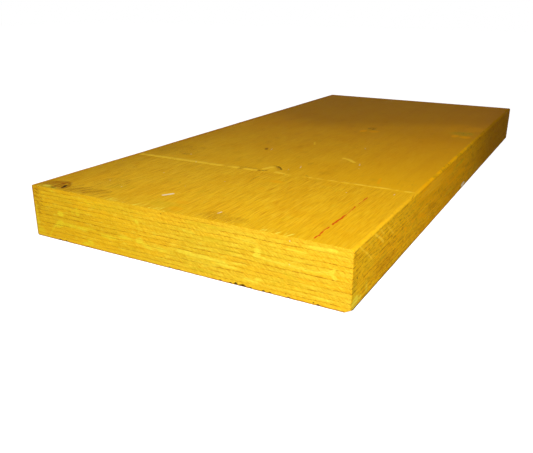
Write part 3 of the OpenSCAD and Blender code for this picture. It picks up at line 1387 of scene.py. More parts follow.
    def add_glued_face(self, rim: Rim, level: int) -> None:
        """Closes the sheet where it is glued to its neighbour.

        Args:
            rim: The rim.
            level: 0 for the underside, -1 for the top.
        """
        outer_numbers = rim.numbers[level]
        outer = rim.points[level]
        height = self.floor if level == 0 else self.floor + self.sizes.veneer
        middle = (outer[:, :2].max(0) + outer[:, :2].min(0)) / 2
        half = (outer[:, :2].max(0) - outer[:, :2].min(0)) / 2
        inner = outer.copy()
        inner[:, :2] = middle + (outer[:, :2] - middle) * (half - self.GLUED_RING) / half
        inner[:, 2] = height
        plain = np.zeros(len(inner))
        values = self.flat_values(self.marks_at(None, plain, plain), plain)
        inner_numbers = self.draft.add_points(inner, values)
        numbers = np.stack([np.append(outer_numbers, outer_numbers[0]),
                            np.append(inner_numbers, inner_numbers[0])])
        chart = self.small_chart(np.stack([np.vstack([outer, outer[:1]]), np.vstack([inner, inner[:1]])]))
        self.draft.add_grid(numbers, chart, Zone.GLUED, flip=level == 0)
        turn = -1 if level == 0 else 1
        self.draft.add_faces(inner_numbers[None, ::turn], self.small_chart(inner)[None, ::turn], Zone.GLUED)

    def flat_values(self, marks: dict[str, Field], bend: Field) -> dict[str, Field]:
        """Adds to the marks of some points what else the finishes read away from every glue line.

        Args:
            marks: Weights of the marks.
            bend: How far the grain is pushed across.

        Returns:
            One flat array for each value.
        """
        middle, far = np.full(bend.shape, self.number - 0.5), np.full(bend.shape, FAR_FROM_GLUE)
        values = marks | {"bend": bend, "layer": middle, "glue_gap": far}
        return {name: array.ravel() for name, array in values.items()}

    def wide_values(self, x: Field, y: Field, face: Face | None) -> dict[str, Field]:
        """What the finishes read on a wide face, which shows the marks of a face or none."""
        marks = self.marks_at(face, x + self.sizes.half_width, y + self.sizes.half_length)
        return self.flat_values(marks, self.shape.grain_bend(x, y))

    def add_upper_face(self, rim: Rim, room: Sequence[float]) -> None:
        """Draws the whole upper face as a grid inside the last loop.

        Args:
            rim: The rim.
            room: Left, bottom, right and top of the face's place on the picture.
        """
        top, numbers = rim.points[-1], rim.numbers[-1]
        front, right, rear, left = rim.parts
        across, along = rim.fractions[0][None, :], rim.fractions[1][:, None]
        part_a, part_b = across[:, 1:-1], along[1:-1]
        x = top[left[1:-1], 0][:, None] * (1 - part_a) + top[right[1:-1], 0][:, None] * part_a
        y = top[front[1:-1], 1][None, :] * (1 - part_b) + top[rear[1:-1], 1][None, :] * part_b
        z = self.sizes.thickness - self.shape.upper_relief(x, y)
        points = np.stack([x, y, z], -1).reshape(-1, 3)
        inner = self.draft.add_points(points, self.wide_values(x, y, Face.UPPER))
        grid = np.zeros((len(left), len(front)), int)
        grid[0, :], grid[-1, :] = numbers[front], numbers[rear]
        grid[:, 0], grid[:, -1] = numbers[left], numbers[right]
        grid[1:-1, 1:-1] = inner.reshape(x.shape)
        u, v = np.broadcast_arrays(across, along)
        lying = self.growth and room[2] - room[0] > room[3] - room[1]
        chart = spread(room, v, 1 - u) if lying else spread(room, u, v)
        self.draft.add_grid(grid, chart, Zone.WIDE_FACE)

    def add_underside(self, rim: Rim, room: Sequence[float]) -> None:
        """Draws the underside as a coarser grid, stitched to the first loop.

        Args:
            rim: The rim.
            room: Left, bottom, right and top of the face's place on the picture.
        """
        across, along = rim.fractions[:2]
        pick_a, pick_b = (np.unique(np.round(np.linspace(0, len(part) - 1, count)).astype(int))
                          for part, count in ((across, self.UNDER_COLUMNS), (along, self.UNDER_ROWS)))
        half = self.shape.half_width_at(np.zeros(1))[0] - self.UNDER_RING
        run = self.sizes.half_length - self.UNDER_RING
        x, y = np.meshgrid((2 * across[pick_a] - 1) * half, (2 * along[pick_b] - 1) * run)
        points = np.stack([x, y, self.shape.lower_relief(x, y)], -1).reshape(-1, 3)
        points = self.shape.knocked(points)
        grid = self.draft.add_points(points, self.wide_values(x, y, None)).reshape(x.shape)

        def chart(place: Field) -> Field:
            """Places on the picture for points of the underside."""
            part = self.sizes.in_plan(place)
            return spread(room, part[..., 1], 1 - part[..., 0])

        self.draft.add_grid(grid, chart(points.reshape(*x.shape, 3)), Zone.WIDE_FACE, flip=True)
        inner_points = dict(zip(grid.ravel(), points))
        edges = zip(rim.parts, (pick_a, pick_b, pick_a, pick_b), (grid[0], grid[:, -1], grid[-1], grid[:, 0]))
        for side, (outer, pick, inner) in enumerate(edges):
            for step in range(len(pick) - 1):
                columns = outer[pick[step]:pick[step + 1] + 1]
                ends = [inner[step + 1], inner[step]]
                corners = list(rim.numbers[0][columns]) + ends
                places = list(rim.points[0][columns]) + [inner_points[number] for number in ends]
                if side < 2:
                    corners.reverse()
                    places.reverse()
                self.draft.add_faces(np.array([corners]), chart(np.array(places))[None], Zone.WIDE_FACE)

    def build(self) -> bpy.types.Object:
        """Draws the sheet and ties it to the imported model.

        Returns:
            The finished piece.
        """
        rim = self.build_rim()
        self.add_rim_faces(rim)
        room_top = self.rim_room[0] - 0.02
        if self.upper is FaceShown.SEEN:
            self.add_upper_face(rim, (0.01, 0.01, 0.99, room_top))
        else:
            self.add_glued_face(rim, -1)
        if self.lower is FaceShown.SEEN:
            self.add_underside(rim, (0.12, 0.01, 0.99, room_top))
        else:
            self.add_glued_face(rim, 0)
        piece = self.draft.make(self.piece_name, self.materials)
        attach(piece, "root")
        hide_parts(self.node)
        return piece


# ---------------------------------------------------------------------------------- shader maths


class Wire:
    """One output of a node, with the arithmetic that the finishes use."""

    def __init__(self, desk: "FinishDesk", socket: bpy.types.NodeSocket) -> None:
        """Keeps the socket and the desk that adds nodes for it."""
        self.desk = desk
        self.socket = socket

    def __add__(self, other: "Wire | float") -> "Wire":
        """Sum."""
        return self.desk.maths("ADD", self, other)

    def __radd__(self, other: float) -> "Wire":
        """Sum, with the number first."""
        return self.desk.maths("ADD", other, self)

    def __sub__(self, other: "Wire | float") -> "Wire":
        """Difference."""
        return self.desk.maths("SUBTRACT", self, other)

    def __rsub__(self, other: float) -> "Wire":
        """Difference, with the number first."""
        return self.desk.maths("SUBTRACT", other, self)

    def __mul__(self, other: "Wire | float") -> "Wire":
        """Product."""
        return self.desk.maths("MULTIPLY", self, other)

    def __rmul__(self, other: float) -> "Wire":
        """Product, with the number first."""
        return self.desk.maths("MULTIPLY", other, self)

    def __truediv__(self, other: "Wire | float") -> "Wire":
        """Quotient."""
        return self.desk.maths("DIVIDE", self, other)

    def __pow__(self, power: float) -> "Wire":
        """Power."""
        return self.desk.maths("POWER", self, power)

    def __abs__(self) -> "Wire":
        """Size without sign."""
        return self.desk.maths("ABSOLUTE", self)

    def floor(self) -> "Wire":
        """Whole part."""
        return self.desk.maths("FLOOR", self)

    def most(self, other: "Wire | float") -> "Wire":
        """The larger of two."""
        return self.desk.maths("MAXIMUM", self, other)

    def eased(self, low: float, high: float) -> "Wire":
        """Rises smoothly from 0 at low to 1 at high; falls if high is the lower.

        Args:
            low: Where the result is 0.
            high: Where the result is 1.

        Returns:
            The eased step.
        """
        start, end, first, last = (low, high, 0.0, 1.0) if low < high else (high, low, 1.0, 0.0)
        return self.desk.add("ShaderNodeMapRange", {"interpolation_type": "SMOOTHSTEP"}, {
            "Value": self, "From Min": start, "From Max": end, "To Min": first, "To Max": last,
        })


Amount = Wire | float
Paint = Wire | Colour


class FinishDesk:
    """Adds nodes to one material or world."""

    # The Mix node's sockets for colours: its factor, its two colours and its result.
    FACTOR, UNDER, OVER, MIXED = 0, 6, 7, 2

    def __init__(self, tree: bpy.types.NodeTree) -> None:
        """Clears the tree."""
        self.tree = tree
        tree.nodes.clear()

    def add(self, kind: str, settings: Mapping[str, Any], inputs: Mapping[Any, Any], output: Any = 0) -> Wire:
        """Adds one node.

        Args:
            kind: The node's type.
            settings: Its own settings, which are set first.
            inputs: A value or a wire for each of its sockets, by name or place.
            output: Which of its outputs is wanted.

        Returns:
            The wanted output, or the first input of a node that has none.
        """
        node = self.tree.nodes.new(kind)
        for name, setting in settings.items():
            setattr(node, name, setting)
        for name, value in inputs.items():
            if isinstance(value, Wire):
                self.tree.links.new(value.socket, node.inputs[name])
            else:
                node.inputs[name].default_value = value
        return Wire(self, node.outputs[output] if node.outputs else node.inputs[0])

    def maths(self, operation: str, *values: Amount) -> Wire:
        """Adds a Math node for an expression on values."""
        return self.add("ShaderNodeMath", {"operation": operation}, dict(enumerate(values)))

    def mix(self, part: Amount, under: Paint, over: Paint) -> Wire:
        """Mixes two colours, of which the second shows by a part from 0 to 1."""
        inputs = {self.FACTOR: part, self.UNDER: under, self.OVER: over}
        return self.add("ShaderNodeMix", {"data_type": "RGBA", "clamp_factor": True}, inputs, self.MIXED)

    def coats(self, colour: Paint, *coats: tuple[Amount, Colour]) -> Paint:
        """Lays coats of colour over one another.

        Args:
            colour: The colour below.
            coats: How much of each coat shows and its colour, from the lowest up.

        Returns:
            The colour of them all.
        """
        for amount, over in coats:
            colour = self.mix(amount, colour, over)
        return colour

    def value(self, name: str) -> Wire:
        """Reads a value that the mesh carries."""
        return self.add("ShaderNodeAttribute", {"attribute_name": name}, {}, "Fac")

    def place(self) -> tuple[Wire, Wire, Wire]:
        """The place on the beam in millimetres.

        Returns:
            x, y and z.
        """
        coordinates = self.add("ShaderNodeTexCoord", {}, {}, "Object")
        node = self.add("ShaderNodeSeparateXYZ", {}, {0: coordinates}).socket.node
        x, y, z = (Wire(self, node.outputs[axis]) * (1 / MM) for axis in range(3))
        return x, y, z

    def noise(self, x: Amount, y: Amount, z: Amount, detail: float = 2.0, roughness: float = 0.5) -> Wire:
        """Noise at a place, one lump to the unit.

        Args:
            x: First coordinate.
            y: Second coordinate.
            z: Third coordinate.
            detail: How many finer sizes are added.
            roughness: How strong the finer sizes are.

        Returns:
            Values from 0 to 1.
        """
        spot = self.add("ShaderNodeCombineXYZ", {}, {0: x, 1: y, 2: z})
        inputs = {"Vector": spot, "Scale": 1.0, "Detail": detail, "Roughness": roughness}
        return self.add("ShaderNodeTexNoise", {"noise_dimensions": "3D"}, inputs)

    def bump(self, height: Wire, distance: float, strength: float) -> Wire:
        """A bump from heights of 0 to 1: how tall 1 is in metres, and how much of it is used."""
        return self.add("ShaderNodeBump", {}, {"Height": height, "Distance": distance, "Strength": strength})


# --------------------------------------------------------------------------------------- finishes


@dataclass(frozen=True)
class GlazeColours:
    """The yellow glaze and what is found in it."""

    gold: Colour = tone(246, 190, 22)
    wheat: Colour = tone(238, 192, 46)
    maize: Colour = tone(241, 190, 22)
    corn: Colour = tone(226, 191, 46)
    amber: Colour = tone(234, 166, 10)
    ochre: Colour = tone(202, 134, 8)
    umber: Colour = tone(150, 92, 6)
    rust: Colour = tone(208, 124, 8)
    flame: Colour = tone(246, 172, 8)
    honey: Colour = tone(252, 192, 32)
    lemon: Colour = tone(236, 218, 64)
    sharp: Colour = tone(236, 212, 38)
    fibre: Colour = tone(255, 240, 84)
    olive: Colour = tone(206, 174, 30)
    straw: Colour = tone(254, 208, 50)
    rim: Colour = tone(255, 208, 54)
    ember: Colour = tone(255, 184, 14)
    bark: Colour = tone(138, 64, 6)
    seam: Colour = tone(160, 98, 8)
    pitch: Colour = tone(40, 24, 10)
    crayon: Colour = tone(214, 74, 14)
    chalk: Colour = tone(250, 236, 200)


class WoodFinish:
    """What every finish of the beam shares: its colours, its marks and its shader."""

    def __init__(self, name: str, colours: GlazeColours) -> None:
        """Starts an empty material.

        Args:
            name: Name of the material.
            colours: Colours that the finish is made of.
        """
        self.colours = colours
        self.material = bpy.data.materials.new(name)
        self.material.use_nodes = True
        self.desk = FinishDesk(self.material.node_tree)

    def paint_arris_highlight(self, colour: Wire, gap: Wire, y: Wire) -> Wire:
        """Paints a highlight along the right upper arris: an even line at the front, broken into ragged bits
        further back.

        Args:
            colour: The colour below.
            gap: Distance from the arris in millimetres.
            y: Place along the beam.

        Returns:
            The colour with the painted highlight.
        """
        chips = self.desk.noise(y / 9.0, 0.5, 3.0, 3.0, 0.75).eased(0.46, 0.6)
        far = y.eased(-170.0, -115.0)
        shown = (1.4 + far * (2.4 * chips - 1.5) - gap).eased(-0.6, 0.6) * y.eased(35.0, 0.0)
        bright = self.desk.mix(far, self.colours.honey, self.colours.ember)
        return self.desk.mix(shown * (0.6 + 0.36 * far), colour, bright)

    def marked(self, colour: Wire, grit: Wire, lemon: Wire | Colour, gain: float) -> Wire:
        """Lays the marks over a colour, their edges broken by a fine noise.

        Args:
            colour: The colour below.
            grit: Fine noise from 0 to 1.
            lemon: Colour of the pooled glaze.
            gain: How much the noise breaks the soft marks. The crisp ones keep nearer to their shape.

        Returns:
            The marked colour.
        """
        desk, tones = self.desk, self.colours
        for mark, over, low, high, most, strong in (
            (OLIVE, tones.olive, 0.15, 0.85, 0.6, gain),
            (ORANGE, tones.flame, 0.1, 0.9, 0.8, gain),
            (BROWN, tones.bark, 0.1, 1.0, 0.85, gain * 1.4),
            (LEMON, lemon, 0.22, 0.95, 0.72, gain),
            (PALE, tones.rim, 0.15, 0.7, 0.95, 1.0),
            (RED, tones.crayon, 0.25, 0.6, 0.95, 0.9),
            (CHALK, tones.chalk, 0.35, 0.6, 0.85, 1.0),
            (DARK, tones.pitch, 0.25, 0.65, 0.95, 1.1),
        ):
            weight = desk.value(mark.value)
            shown = (weight + (grit - 0.5) * strong * weight.eased(0.0, 0.25)).eased(low, high)
            if mark is LEMON:
                shown = shown * (0.2 + 1.55 * grit)
            colour = desk.mix(shown * most, colour, over)
        return colour

    def finish(self, colour: Wire, roughness: Wire, normal: Wire, gloss: float = 0.01) -> bpy.types.Material:
        """Closes the material with its shader.

        Args:
            colour: Base colour.
            roughness: Roughness.
            normal: Normal.
            gloss: Specular level.

        Returns:
            The material.
        """
        shader = self.desk.add("ShaderNodeBsdfPrincipled", {}, {
            "Base Color": colour, "Roughness": roughness, "Normal": normal,
            "Specular IOR Level": gloss, "IOR": 1.45,
        })
        self.desk.add("ShaderNodeOutputMaterial", {}, {"Surface": shader})
        return self.material


@dataclass(frozen=True)
class Finish:
    """What a finish is made from."""

    name: str
    sizes: BeamSizes
    colours: GlazeColours

    def start(self) -> tuple[WoodFinish, FinishDesk, GlazeColours]:
        """Starts the material and gives what works on it."""
        wood = WoodFinish(self.name, self.colours)
        return wood, wood.desk, self.colours


@dataclass(frozen=True)
class GlazedFace(Finish):
    """A peeled wide face under yellow glaze, with streaks along the grain."""

    seed: float = 0.0

    def make(self) -> bpy.types.Material:
        """Makes the finish.

        Returns:
            The material.
        """
        wood, desk, tones = self.start()
        x, y, _ = desk.place()
        across = x + desk.value("bend")
        past = (y - self.sizes.joint).eased(-4.0, 6.0)
        fine = desk.noise(across / 0.38, y / 12.0, self.seed, 2.0, 0.65)
        streak = desk.noise(across / 0.58, y / 26.0, self.seed + 3.0, 2.0, 0.6)
        broad = desk.noise(across / 11.0, y / 150.0, self.seed + 6.0, 2.0)
        cloud = desk.noise(x / 34.0, y / 52.0, self.seed + 9.0, 3.0, 0.6)
        patchy = desk.noise(x / 13.0, y / 24.0, self.seed + 12.0, 3.0, 0.6)
        grit = desk.noise(x / 0.8, y / 1.6, self.seed + 15.0, 2.0, 0.6)

        calm = 1.0 - 0.4 * past - 0.45 * y.eased(-40.0, 130.0) - 0.35 * x.eased(66.0, 112.0)
        # Painted shade: the face darkens towards the rear end behind a slanting edge, where the light falls
        # off.
        painted_far_shade = (y - abs(x + 45.0) * 0.52).eased(20.0, 80.0) * 0.24 + y.eased(0.0, 60.0) * 0.11
        colour = desk.coats(
            tones.gold,
            (x.eased(90.0, -90.0) * 0.45, tones.wheat),
            (cloud.eased(0.35, 0.7) * 0.42, tones.amber),
            (broad.eased(0.48, 0.7) * 0.16, tones.ochre),
            (streak.eased(0.48, 0.66) * 0.5 * calm, tones.ochre),
            (fine.eased(0.5, 0.66) * 0.64 * calm, tones.rust),
            (streak.eased(0.5, 0.34) * 0.5 * calm, tones.straw),
            (fine.eased(0.48, 0.32) * 0.24 * calm, tones.fibre),
            (patchy.eased(0.55, 0.75) * (0.05 + 0.12 * past), tones.umber),
            (patchy.eased(0.42, 0.25) * 0.2, tones.olive),
            (y.eased(-245.0, -268.0) * 0.14, tones.olive),
            (past * x.eased(20.0, 90.0) * 0.3, tones.amber),
            (x.eased(70.0, 120.0) * y.eased(-150.0, -230.0) * 0.16, tones.ochre),
            (x.eased(90.0, 120.0) * y.eased(20.0, 110.0) * 0.24, tones.umber),
            (x.eased(-90.0, -119.0) * y.eased(20.0, -90.0) * 0.24, tones.umber),
            (x.eased(-117.0, -121.5) * (0.12 + 0.26 * y.eased(-150.0, -40.0)), tones.umber),
            (x.eased(-121.0, -123.5) * 0.5, tones.rust),
            # Painted shade: darker from the front end towards the rear, where the light falls off.
            (y.eased(-245.0, 85.0) * 0.5, tones.rust),
            (painted_far_shade, tones.umber),
        )
        # Painted highlight along the right upper arris.
        colour = wood.paint_arris_highlight(colour, self.sizes.half_width - x, y)
        colour = wood.marked(colour, grit * 0.3 + fine * 0.7, tones.fibre, 1.3)
        rough = 0.46 + 0.14 * streak + 0.08 * grit
        height = fine * 0.5 + streak * 0.9 + grit * 0.25
        return wood.finish(colour, rough, desk.bump(height, 0.00022, 0.55), 0.006)


class EndGrain(Finish):
    """A crosscut end: plies on edge, growth rings, saw hatch and broken glue lines."""

    def make(self) -> bpy.types.Material:
        """Makes the finish.

        Returns:
            The material.
        """
        wood, desk, tones = self.start()
        x, _, z = desk.place()
        layer, gap = desk.value("layer"), desk.value("glue_gap")
        ply, seam = layer.floor(), (layer + 0.5).floor()
        tilt, rise = z * 0.8 + x * 0.6, z * 0.6 - x * 0.8
        tint = desk.noise(ply * 7.3, x / 70.0, 0.5, 1.0)
        rings = desk.noise(x / 16.0, layer * 6.5, ply * 3.1, 2.0, 0.6)
        hatch = desk.noise(tilt / 0.7, rise / 5.5, 4.0, 2.0, 0.6)
        pores = desk.noise(x / 0.6, z / 0.5, 7.0, 2.0, 0.6)
        strand = desk.noise(x / 7.0, layer * 3.4, 27.0, 3.0, 0.7)
        pools = desk.noise(x / 9.0, layer * 1.3, 11.0, 3.0, 0.65)
        cloud = desk.noise(x / 42.0, z / 16.0, 14.0, 2.0)
        ragged = desk.noise(x / 2.2, layer * 2.6, 23.0, 3.0, 0.7)

        right = x.eased(-70.0, 40.0)
        colour = desk.coats(
            tones.maize,
            (right, tones.corn),
            (tint.eased(0.35, 0.68) * 0.5, tones.amber),
            (rings.eased(0.48, 0.66) * (0.5 - 0.15 * right), tones.ochre),
            (rings.eased(0.48, 0.3) * 0.35, tones.straw),
            (0.14 + cloud.eased(0.42, 0.66) * 0.36, tones.olive),
            (strand.eased(0.54, 0.66) * (0.1 + 0.34 * right), tones.olive),
            (pools.eased(0.54, 0.68) * 0.4, tones.lemon),
            (hatch.eased(0.5, 0.64) * (0.27 + 0.25 * right), tones.ochre),
            (hatch.eased(0.5, 0.34) * (0.2 + 0.22 * right), tones.straw),
            (gap.eased(0.9, 0.1) * 0.16, tones.ochre),
            (z.eased(5.0, 1.0) * 0.12, tones.straw),
            (z.eased(34.0, 38.0) * 0.12 + x.eased(40.0, 115.0) * 0.12, tones.ochre),
        )
        lemon = desk.mix(right, tones.sharp, tones.lemon)
        colour = wood.marked(colour, hatch * 0.5 + ragged * 0.5, lemon, 1.9)
        broken = desk.noise(x / 3.2, seam * 9.1, 17.0, 3.0, 0.7)
        run = desk.noise(x / 30.0, seam * 5.3, 19.0, 1.0)
        width = 0.12 + 0.14 * broken.eased(0.35, 0.65)
        heavy = 0.18 + 0.42 * run.eased(0.4, 0.62) + 0.4 * desk.value(SEAM.value)
        line = (gap / width).eased(1.5, 0.5) * (0.2 + 0.8 * broken.eased(0.34, 0.56)) * heavy
        colour = desk.coats(
            colour,
            (line * 0.92, tones.seam),
            (pores.eased(0.66, 0.73) * 0.5, tones.umber),
            (pores.eased(0.46, 0.32) * 0.34, tones.fibre),
            (x.eased(-123.0, -124.2) * 0.4, tones.bark),
            # Painted shade: a ragged dark line along the foot, where the end meets the floor.
            ((z + 1.2 * (ragged - 0.5)).eased(1.2, 0.3) * 0.75, tones.bark),
        )
        rough = 0.55 + 0.14 * hatch + 0.08 * pores
        height = hatch * (0.4 + 0.4 * right) + pores * 0.5 + rings * 0.4 - line * 0.5
        return wood.finish(colour, rough, desk.bump(height, 0.0003, 0.6))


class SawnSide(Finish):
    """A sawn long side: plies as stripes, long streaks and slanting saw marks."""

    def make(self) -> bpy.types.Material:
        """Makes the finish.

        Returns:
            The material.
        """
        wood, desk, tones = self.start()
        x, y, z = desk.place()
        side = x.eased(-1.0, 1.0) * 50.0
        layer, gap = desk.value("layer"), desk.value("glue_gap")
        cut = y * SAW_ALONG + z * SAW_UP
        tint = desk.noise(layer.floor() * 7.3, y / 120.0, side, 1.0)
        streak = desk.noise(y / 24.0, layer * 2.8, side + 2.0, 3.0, 0.7)
        fine = desk.noise(y / 10.0, z / 0.42, side + 5.0, 2.0, 0.6)
        fleck = desk.noise(y / 6.0, z / 1.7, side + 23.0, 3.0, 0.65)
        blotch = desk.noise(y / 17.0, z / 4.2, side + 29.0, 3.0, 0.6)
        saw = desk.noise(cut / 3.4, 0.5, side + 8.0, 3.0, 0.6)
        teeth = desk.noise(cut / 0.8, (z * SAW_ALONG - y * SAW_UP) / 9.0, side + 11.0, 2.0, 0.6)
        cloud = desk.noise(y / 40.0, z / 11.0, side + 14.0, 2.0)
        grit = desk.noise(y / 1.2, z / 0.6, side + 17.0, 2.0, 0.6)

        calm = 1.0 - 0.75 * y.eased(-10.0, 110.0)
        rear = y.eased(-210.0, -130.0)
        thin = (0.44 - 0.16 * rear) * calm
        colour = desk.coats(
            tones.gold,
            (tint.eased(0.35, 0.68) * 0.6, tones.amber),
            # Painted shade: darker from the front end towards the rear, where the light falls off.
            (y.eased(-265.0, 60.0) * 0.34, tones.rust),
            (streak.eased(0.52, 0.66) * 0.56 * calm, tones.umber),
            (streak.eased(0.48, 0.32) * 0.66 * calm, tones.flame),
            (fine.eased(0.52, 0.64) * thin, tones.umber),
            (fine.eased(0.48, 0.32) * thin, tones.flame),
            (fleck.eased(0.46, 0.34) * 0.5 * calm, tones.umber),
            (fleck.eased(0.54, 0.66) * 0.5 * calm, tones.honey),
            (blotch.eased(0.47, 0.36) * 0.3 * rear, tones.umber),
            (blotch.eased(0.52, 0.64) * 0.5 * rear * calm, tones.flame),
            (grit.eased(0.44, 0.3) * y.eased(-60.0, -200.0) * 0.3, tones.lemon),
            (saw.eased(0.58, 0.68) * 0.45, tones.honey),
            (y.eased(-205.0, -262.0) * 0.2, tones.olive),
            (teeth.eased(0.55, 0.72) * 0.35, tones.umber),
            (cloud.eased(0.5, 0.75) * 0.22, tones.olive),
            (y.eased(-160.0, -120.0) * y.eased(50.0, -20.0) * 0.2, tones.flame),
            # Painted shade: the rear part darkens further, where the light falls off.
            (y.eased(0.0, 160.0) * 0.56, tones.umber),
        )
        # Painted highlight along the right upper arris.
        colour = wood.paint_arris_highlight(colour, self.sizes.thickness - z, y)
        colour = wood.marked(colour, fine * 0.5 + grit * 0.5, tones.lemon, 1.4)
        broken = desk.noise(y / 9.0, (layer + 0.5).floor() * 9.1, side + 20.0, 3.0, 0.7)
        width = 0.1 + 0.22 * broken.eased(0.4, 0.7)
        line = (gap / width).eased(1.4, 0.4) * broken.eased(0.32, 0.56) * (1.0 - 0.6 * rear)
        colour = desk.coats(
            colour,
            (line * 0.75, tones.bark),
            # Painted shade: a ragged dark line along the foot, and more dark where the side meets the floor.
            ((z + 1.4 * (grit - 0.5)).eased(2.4, 0.5) * 0.9, tones.bark),
            (z.eased(2.8, 1.3) * (0.2 + 0.5 * y.eased(-120.0, -200.0)), tones.pitch),
        )
        rough = 0.5 + 0.16 * fine + 0.08 * grit
        height = saw * 0.9 + teeth * 0.5 + fine * 0.5 + streak * 0.5 - line * 0.5
        return wood.finish(colour, rough, desk.bump(height, 0.0003, 0.6), 0.002)


class GlueFilm(Finish):
    """The brown film between two sheets, which only an open sheet would show."""

    def make(self) -> bpy.types.Material:
        """Makes the finish.

        Returns:
            The material.
        """
        wood, desk, tones = self.start()
        x, y, z = desk.place()
        film = desk.noise(x / 6.0, y / 30.0, z, 2.0)
        colour = desk.mix(film.eased(0.4, 0.6) * 0.5, tones.umber, tones.bark)
        return wood.finish(colour, 0.5 + 0.1 * film, desk.bump(film, 0.0001, 0.3))


# ------------------------------------------------------------------------------------------ beam


@dataclass
class LaminatedBeam:
    """The whole beam, built sheet by sheet from the underside up."""

    sizes: BeamSizes
    colours: GlazeColours = GlazeColours()

    def sheets(self) -> Iterable[VeneerSheet]:
        """The sheets in the order of the press.

        Yields:
            Every sheet, ready to build.
        """
        sizes, colours, top = self.sizes, self.colours, self.sizes.count
        book = MarkBook()
        edges = (EndGrain("end_grain", sizes, colours).make(), SawnSide("sawn_side", sizes, colours).make(),
                 GlueFilm("glue_film", sizes, colours).make())
        glazed = (GlazedFace("glazed_upper_face", sizes, colours).make(), *edges)
        under = (GlazedFace("glazed_underside", sizes, colours, 40.0).make(), *edges)
        shared = {"sizes": sizes, "shape": WornShape(sizes, book), "book": book}
        yield VeneerSheet("bottom_face_veneer", "underside_sheet", 1, RecordSlot.FACE, materials=under,
                          lower=FaceShown.SEEN, rim_rows=14, rim_room=(0.46, 0.98), **shared)
        for number in range(2, top):
            figures = f"{number:02d}"
            yield VeneerSheet(f"core_veneer_{figures}", f"core_sheet_{figures}", number, RecordSlot.CORE,
                              materials=glazed, rim_rows=16, **shared)
        shared |= {"materials": glazed, "upper": FaceShown.SEEN}
        yield VeneerSheet("top_face_veneer_front", "upper_sheet_front", top, RecordSlot.FACE,
                          rear_cut=EndCut.SCARF, side_pitch=1.0, rim_rows=9, rim_room=(0.5, 0.98), **shared)
        yield VeneerSheet("top_face_veneer_rear", "upper_sheet_rear", top, RecordSlot.FACE,
                          front_cut=EndCut.SCARF, side_pitch=2.4, growth=0.5, rim_rows=10,
                          rim_room=(0.64, 0.98), **shared)

    def build(self) -> list[bpy.types.Object]:
        """Builds every sheet.

        Returns:
            The pieces.
        """
        pieces: list[bpy.types.Object] = []
        for sheet in self.sheets():
            piece = sheet.build()
            LOG.info("%s stands for %s: %d faces", piece.name, sheet.node, len(piece.data.polygons))
            pieces.append(piece)
        return pieces


# ----------------------------------------------------------------------------------------- studio


@dataclass(frozen=True)
class Lamp:
    """A square lamp aimed at a point, with its strength given as what it gives a surface there."""

    name: str
    place: tuple[float, float, float]
    aim: tuple[float, float, float]
    size: float
    level: float
    glossy: bool = True

    def hang(self) -> bpy.types.Object:
        """Hangs the lamp.

        Returns:
            The lamp.
        """
        place, aim = Vector(self.place), Vector(self.aim)
        data = bpy.data.lights.new(self.name, "AREA")
        data.shape = "SQUARE"
        data.size = self.size
        data.energy = self.level * math.pi ** 2 * (aim - place).length_squared
        lamp = linked(self.name, data)
        lamp.location = place
        lamp.visible_glossy = self.glossy
        lamp.rotation_euler = (aim - place).to_track_quat("-Z", "Y").to_euler()
        return lamp


@dataclass(frozen=True)
class ViewPoint:
    """Where the camera stands and how it is turned, in metres and degrees."""

    place: tuple[float, float, float] = (0.22747, -0.55660, 0.16159)
    heading: float = -29.065
    dip: float = 20.276
    roll: float = 0.278
    lens: float = 40.32

    def set_up(self) -> bpy.types.Object:
        """Makes the camera and gives it to the scene.

        Returns:
            The camera.
        """
        heading, dip, roll = (math.radians(angle) for angle in (self.heading, self.dip, self.roll))
        ahead = Vector((math.sin(heading) * math.cos(dip), math.cos(heading) * math.cos(dip), -math.sin(dip)))
        level = Vector((math.cos(heading), -math.sin(heading), 0))
        upright = level.cross(ahead)
        right = math.cos(roll) * level + math.sin(roll) * upright
        up = math.cos(roll) * upright - math.sin(roll) * level
        data = bpy.data.cameras.new("view_camera")
        data.sensor_width = 36
        data.lens = self.lens
        data.clip_start = 0.01
        camera = linked("view_camera", data)
        turn = Matrix((right, up, -ahead)).transposed()
        camera.matrix_world = Matrix.Translation(self.place) @ turn.to_4x4()
        bpy.context.scene.camera = camera
        return camera


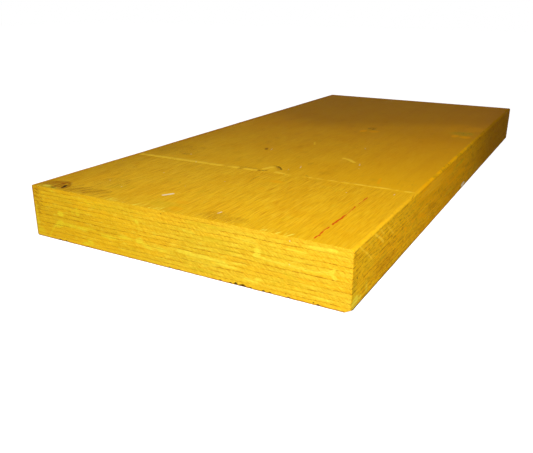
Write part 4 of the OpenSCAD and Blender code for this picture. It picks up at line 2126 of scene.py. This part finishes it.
@dataclass(frozen=True)
class Studio:
    """The white floor, the pale surround and the lamps."""

    floor_half: float = 4.0
    fill: float = 0.04
    lamps: tuple[Lamp, ...] = (
        Lamp("key_lamp", (0.34, -0.69, 0.45), (0.06, -0.2, 0.02), 0.22, 1.34),
        Lamp("back_lamp", (-0.95, 1.05, 0.13), (0.0, 0.1, 0.02), 0.2, 0.6, False),
    )

    @staticmethod
    def unseen_part(desk: FinishDesk) -> Wire:
        """1 for rays that show the surround itself: from the camera, in gloss or through glass.

        Args:
            desk: The desk of the world or the floor.

        Returns:
            1 or 0.
        """
        rays = desk.add("ShaderNodeLightPath", {}, {}, "Is Camera Ray").socket.node
        seen = Wire(desk, rays.outputs["Is Camera Ray"])
        seen = seen.most(Wire(desk, rays.outputs["Is Glossy Ray"]))
        return seen.most(Wire(desk, rays.outputs["Is Transmission Ray"]))

    def lay_floor(self) -> bpy.types.Object:
        """Lays the floor.

        Returns:
            The floor.
        """
        half = self.floor_half
        mesh = bpy.data.meshes.new("studio_floor")
        mesh.from_pydata([(-half, -half, 0), (half, -half, 0), (half, half, 0), (-half, half, 0)], [],
                         [(0, 1, 2, 3)])
        material = bpy.data.materials.new("studio_white")
        material.use_nodes = True
        desk = FinishDesk(material.node_tree)
        matt = desk.add("ShaderNodeBsdfDiffuse", {}, {"Color": (0.6, 0.6, 0.6, 1)})
        x, y, _ = desk.place()
        away = (x ** 2.0 + y ** 2.0) ** 0.5
        strength = 0.9 + 0.1 * away.eased(500.0, 1300.0)
        glow = desk.add("ShaderNodeEmission", {}, {"Color": (1, 1, 1, 1), "Strength": strength})
        both = desk.add("ShaderNodeAddShader", {}, {0: matt, 1: glow})
        shown = desk.add("ShaderNodeMixShader", {}, {0: self.unseen_part(desk), 1: matt, 2: both})
        desk.add("ShaderNodeOutputMaterial", {}, {"Surface": shown})
        mesh.materials.append(material)
        floor = linked("studio_floor", mesh)
        floor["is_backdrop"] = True
        return floor

    def light_world(self) -> None:
        """Gives the surround its white and its soft light."""
        world = bpy.data.worlds.new("studio_surround")
        bpy.context.scene.world = world
        world.use_nodes = True
        desk = FinishDesk(world.node_tree)
        soft = desk.add("ShaderNodeBackground", {}, {"Color": (1, 1, 1, 1), "Strength": self.fill})
        white = desk.add("ShaderNodeBackground", {}, {"Color": (1, 1, 1, 1), "Strength": 1.0})
        shown = desk.add("ShaderNodeMixShader", {}, {0: self.unseen_part(desk), 1: soft, 2: white})
        desk.add("ShaderNodeOutputWorld", {}, {"Surface": shown})

    def set_up(self) -> None:
        """Makes the whole studio."""
        self.lay_floor()
        self.light_world()
        for lamp in self.lamps:
            lamp.hang()
        bpy.context.scene.view_settings.view_transform = "Standard"


def write_sizes() -> None:
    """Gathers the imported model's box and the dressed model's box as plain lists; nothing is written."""
    bpy.context.view_layer.update()
    boxes = {"cad": CAD_BOX, "dressed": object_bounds()}
    plain = {name: [list(low), list(high)] for name, (low, high) in boxes.items()}


def main() -> None:
    """Builds the camera, the studio and the beam in order."""
    logging.basicConfig(level=logging.INFO, format="%(name)s: %(message)s")
    camera = ViewPoint().set_up()
    LOG.info("%s has a %.1f mm lens", camera.name, camera.data.lens)
    Studio().set_up()
    LOG.info("studio ready")
    sizes = BeamSizes.from_frame()
    pieces = LaminatedBeam(sizes).build()
    LOG.info("%d sheets in a beam of %.0f x %.0f x %.0f mm", len(pieces), sizes.length, sizes.width,
             sizes.thickness)
    write_sizes()


if __name__ == "__main__":
    main()
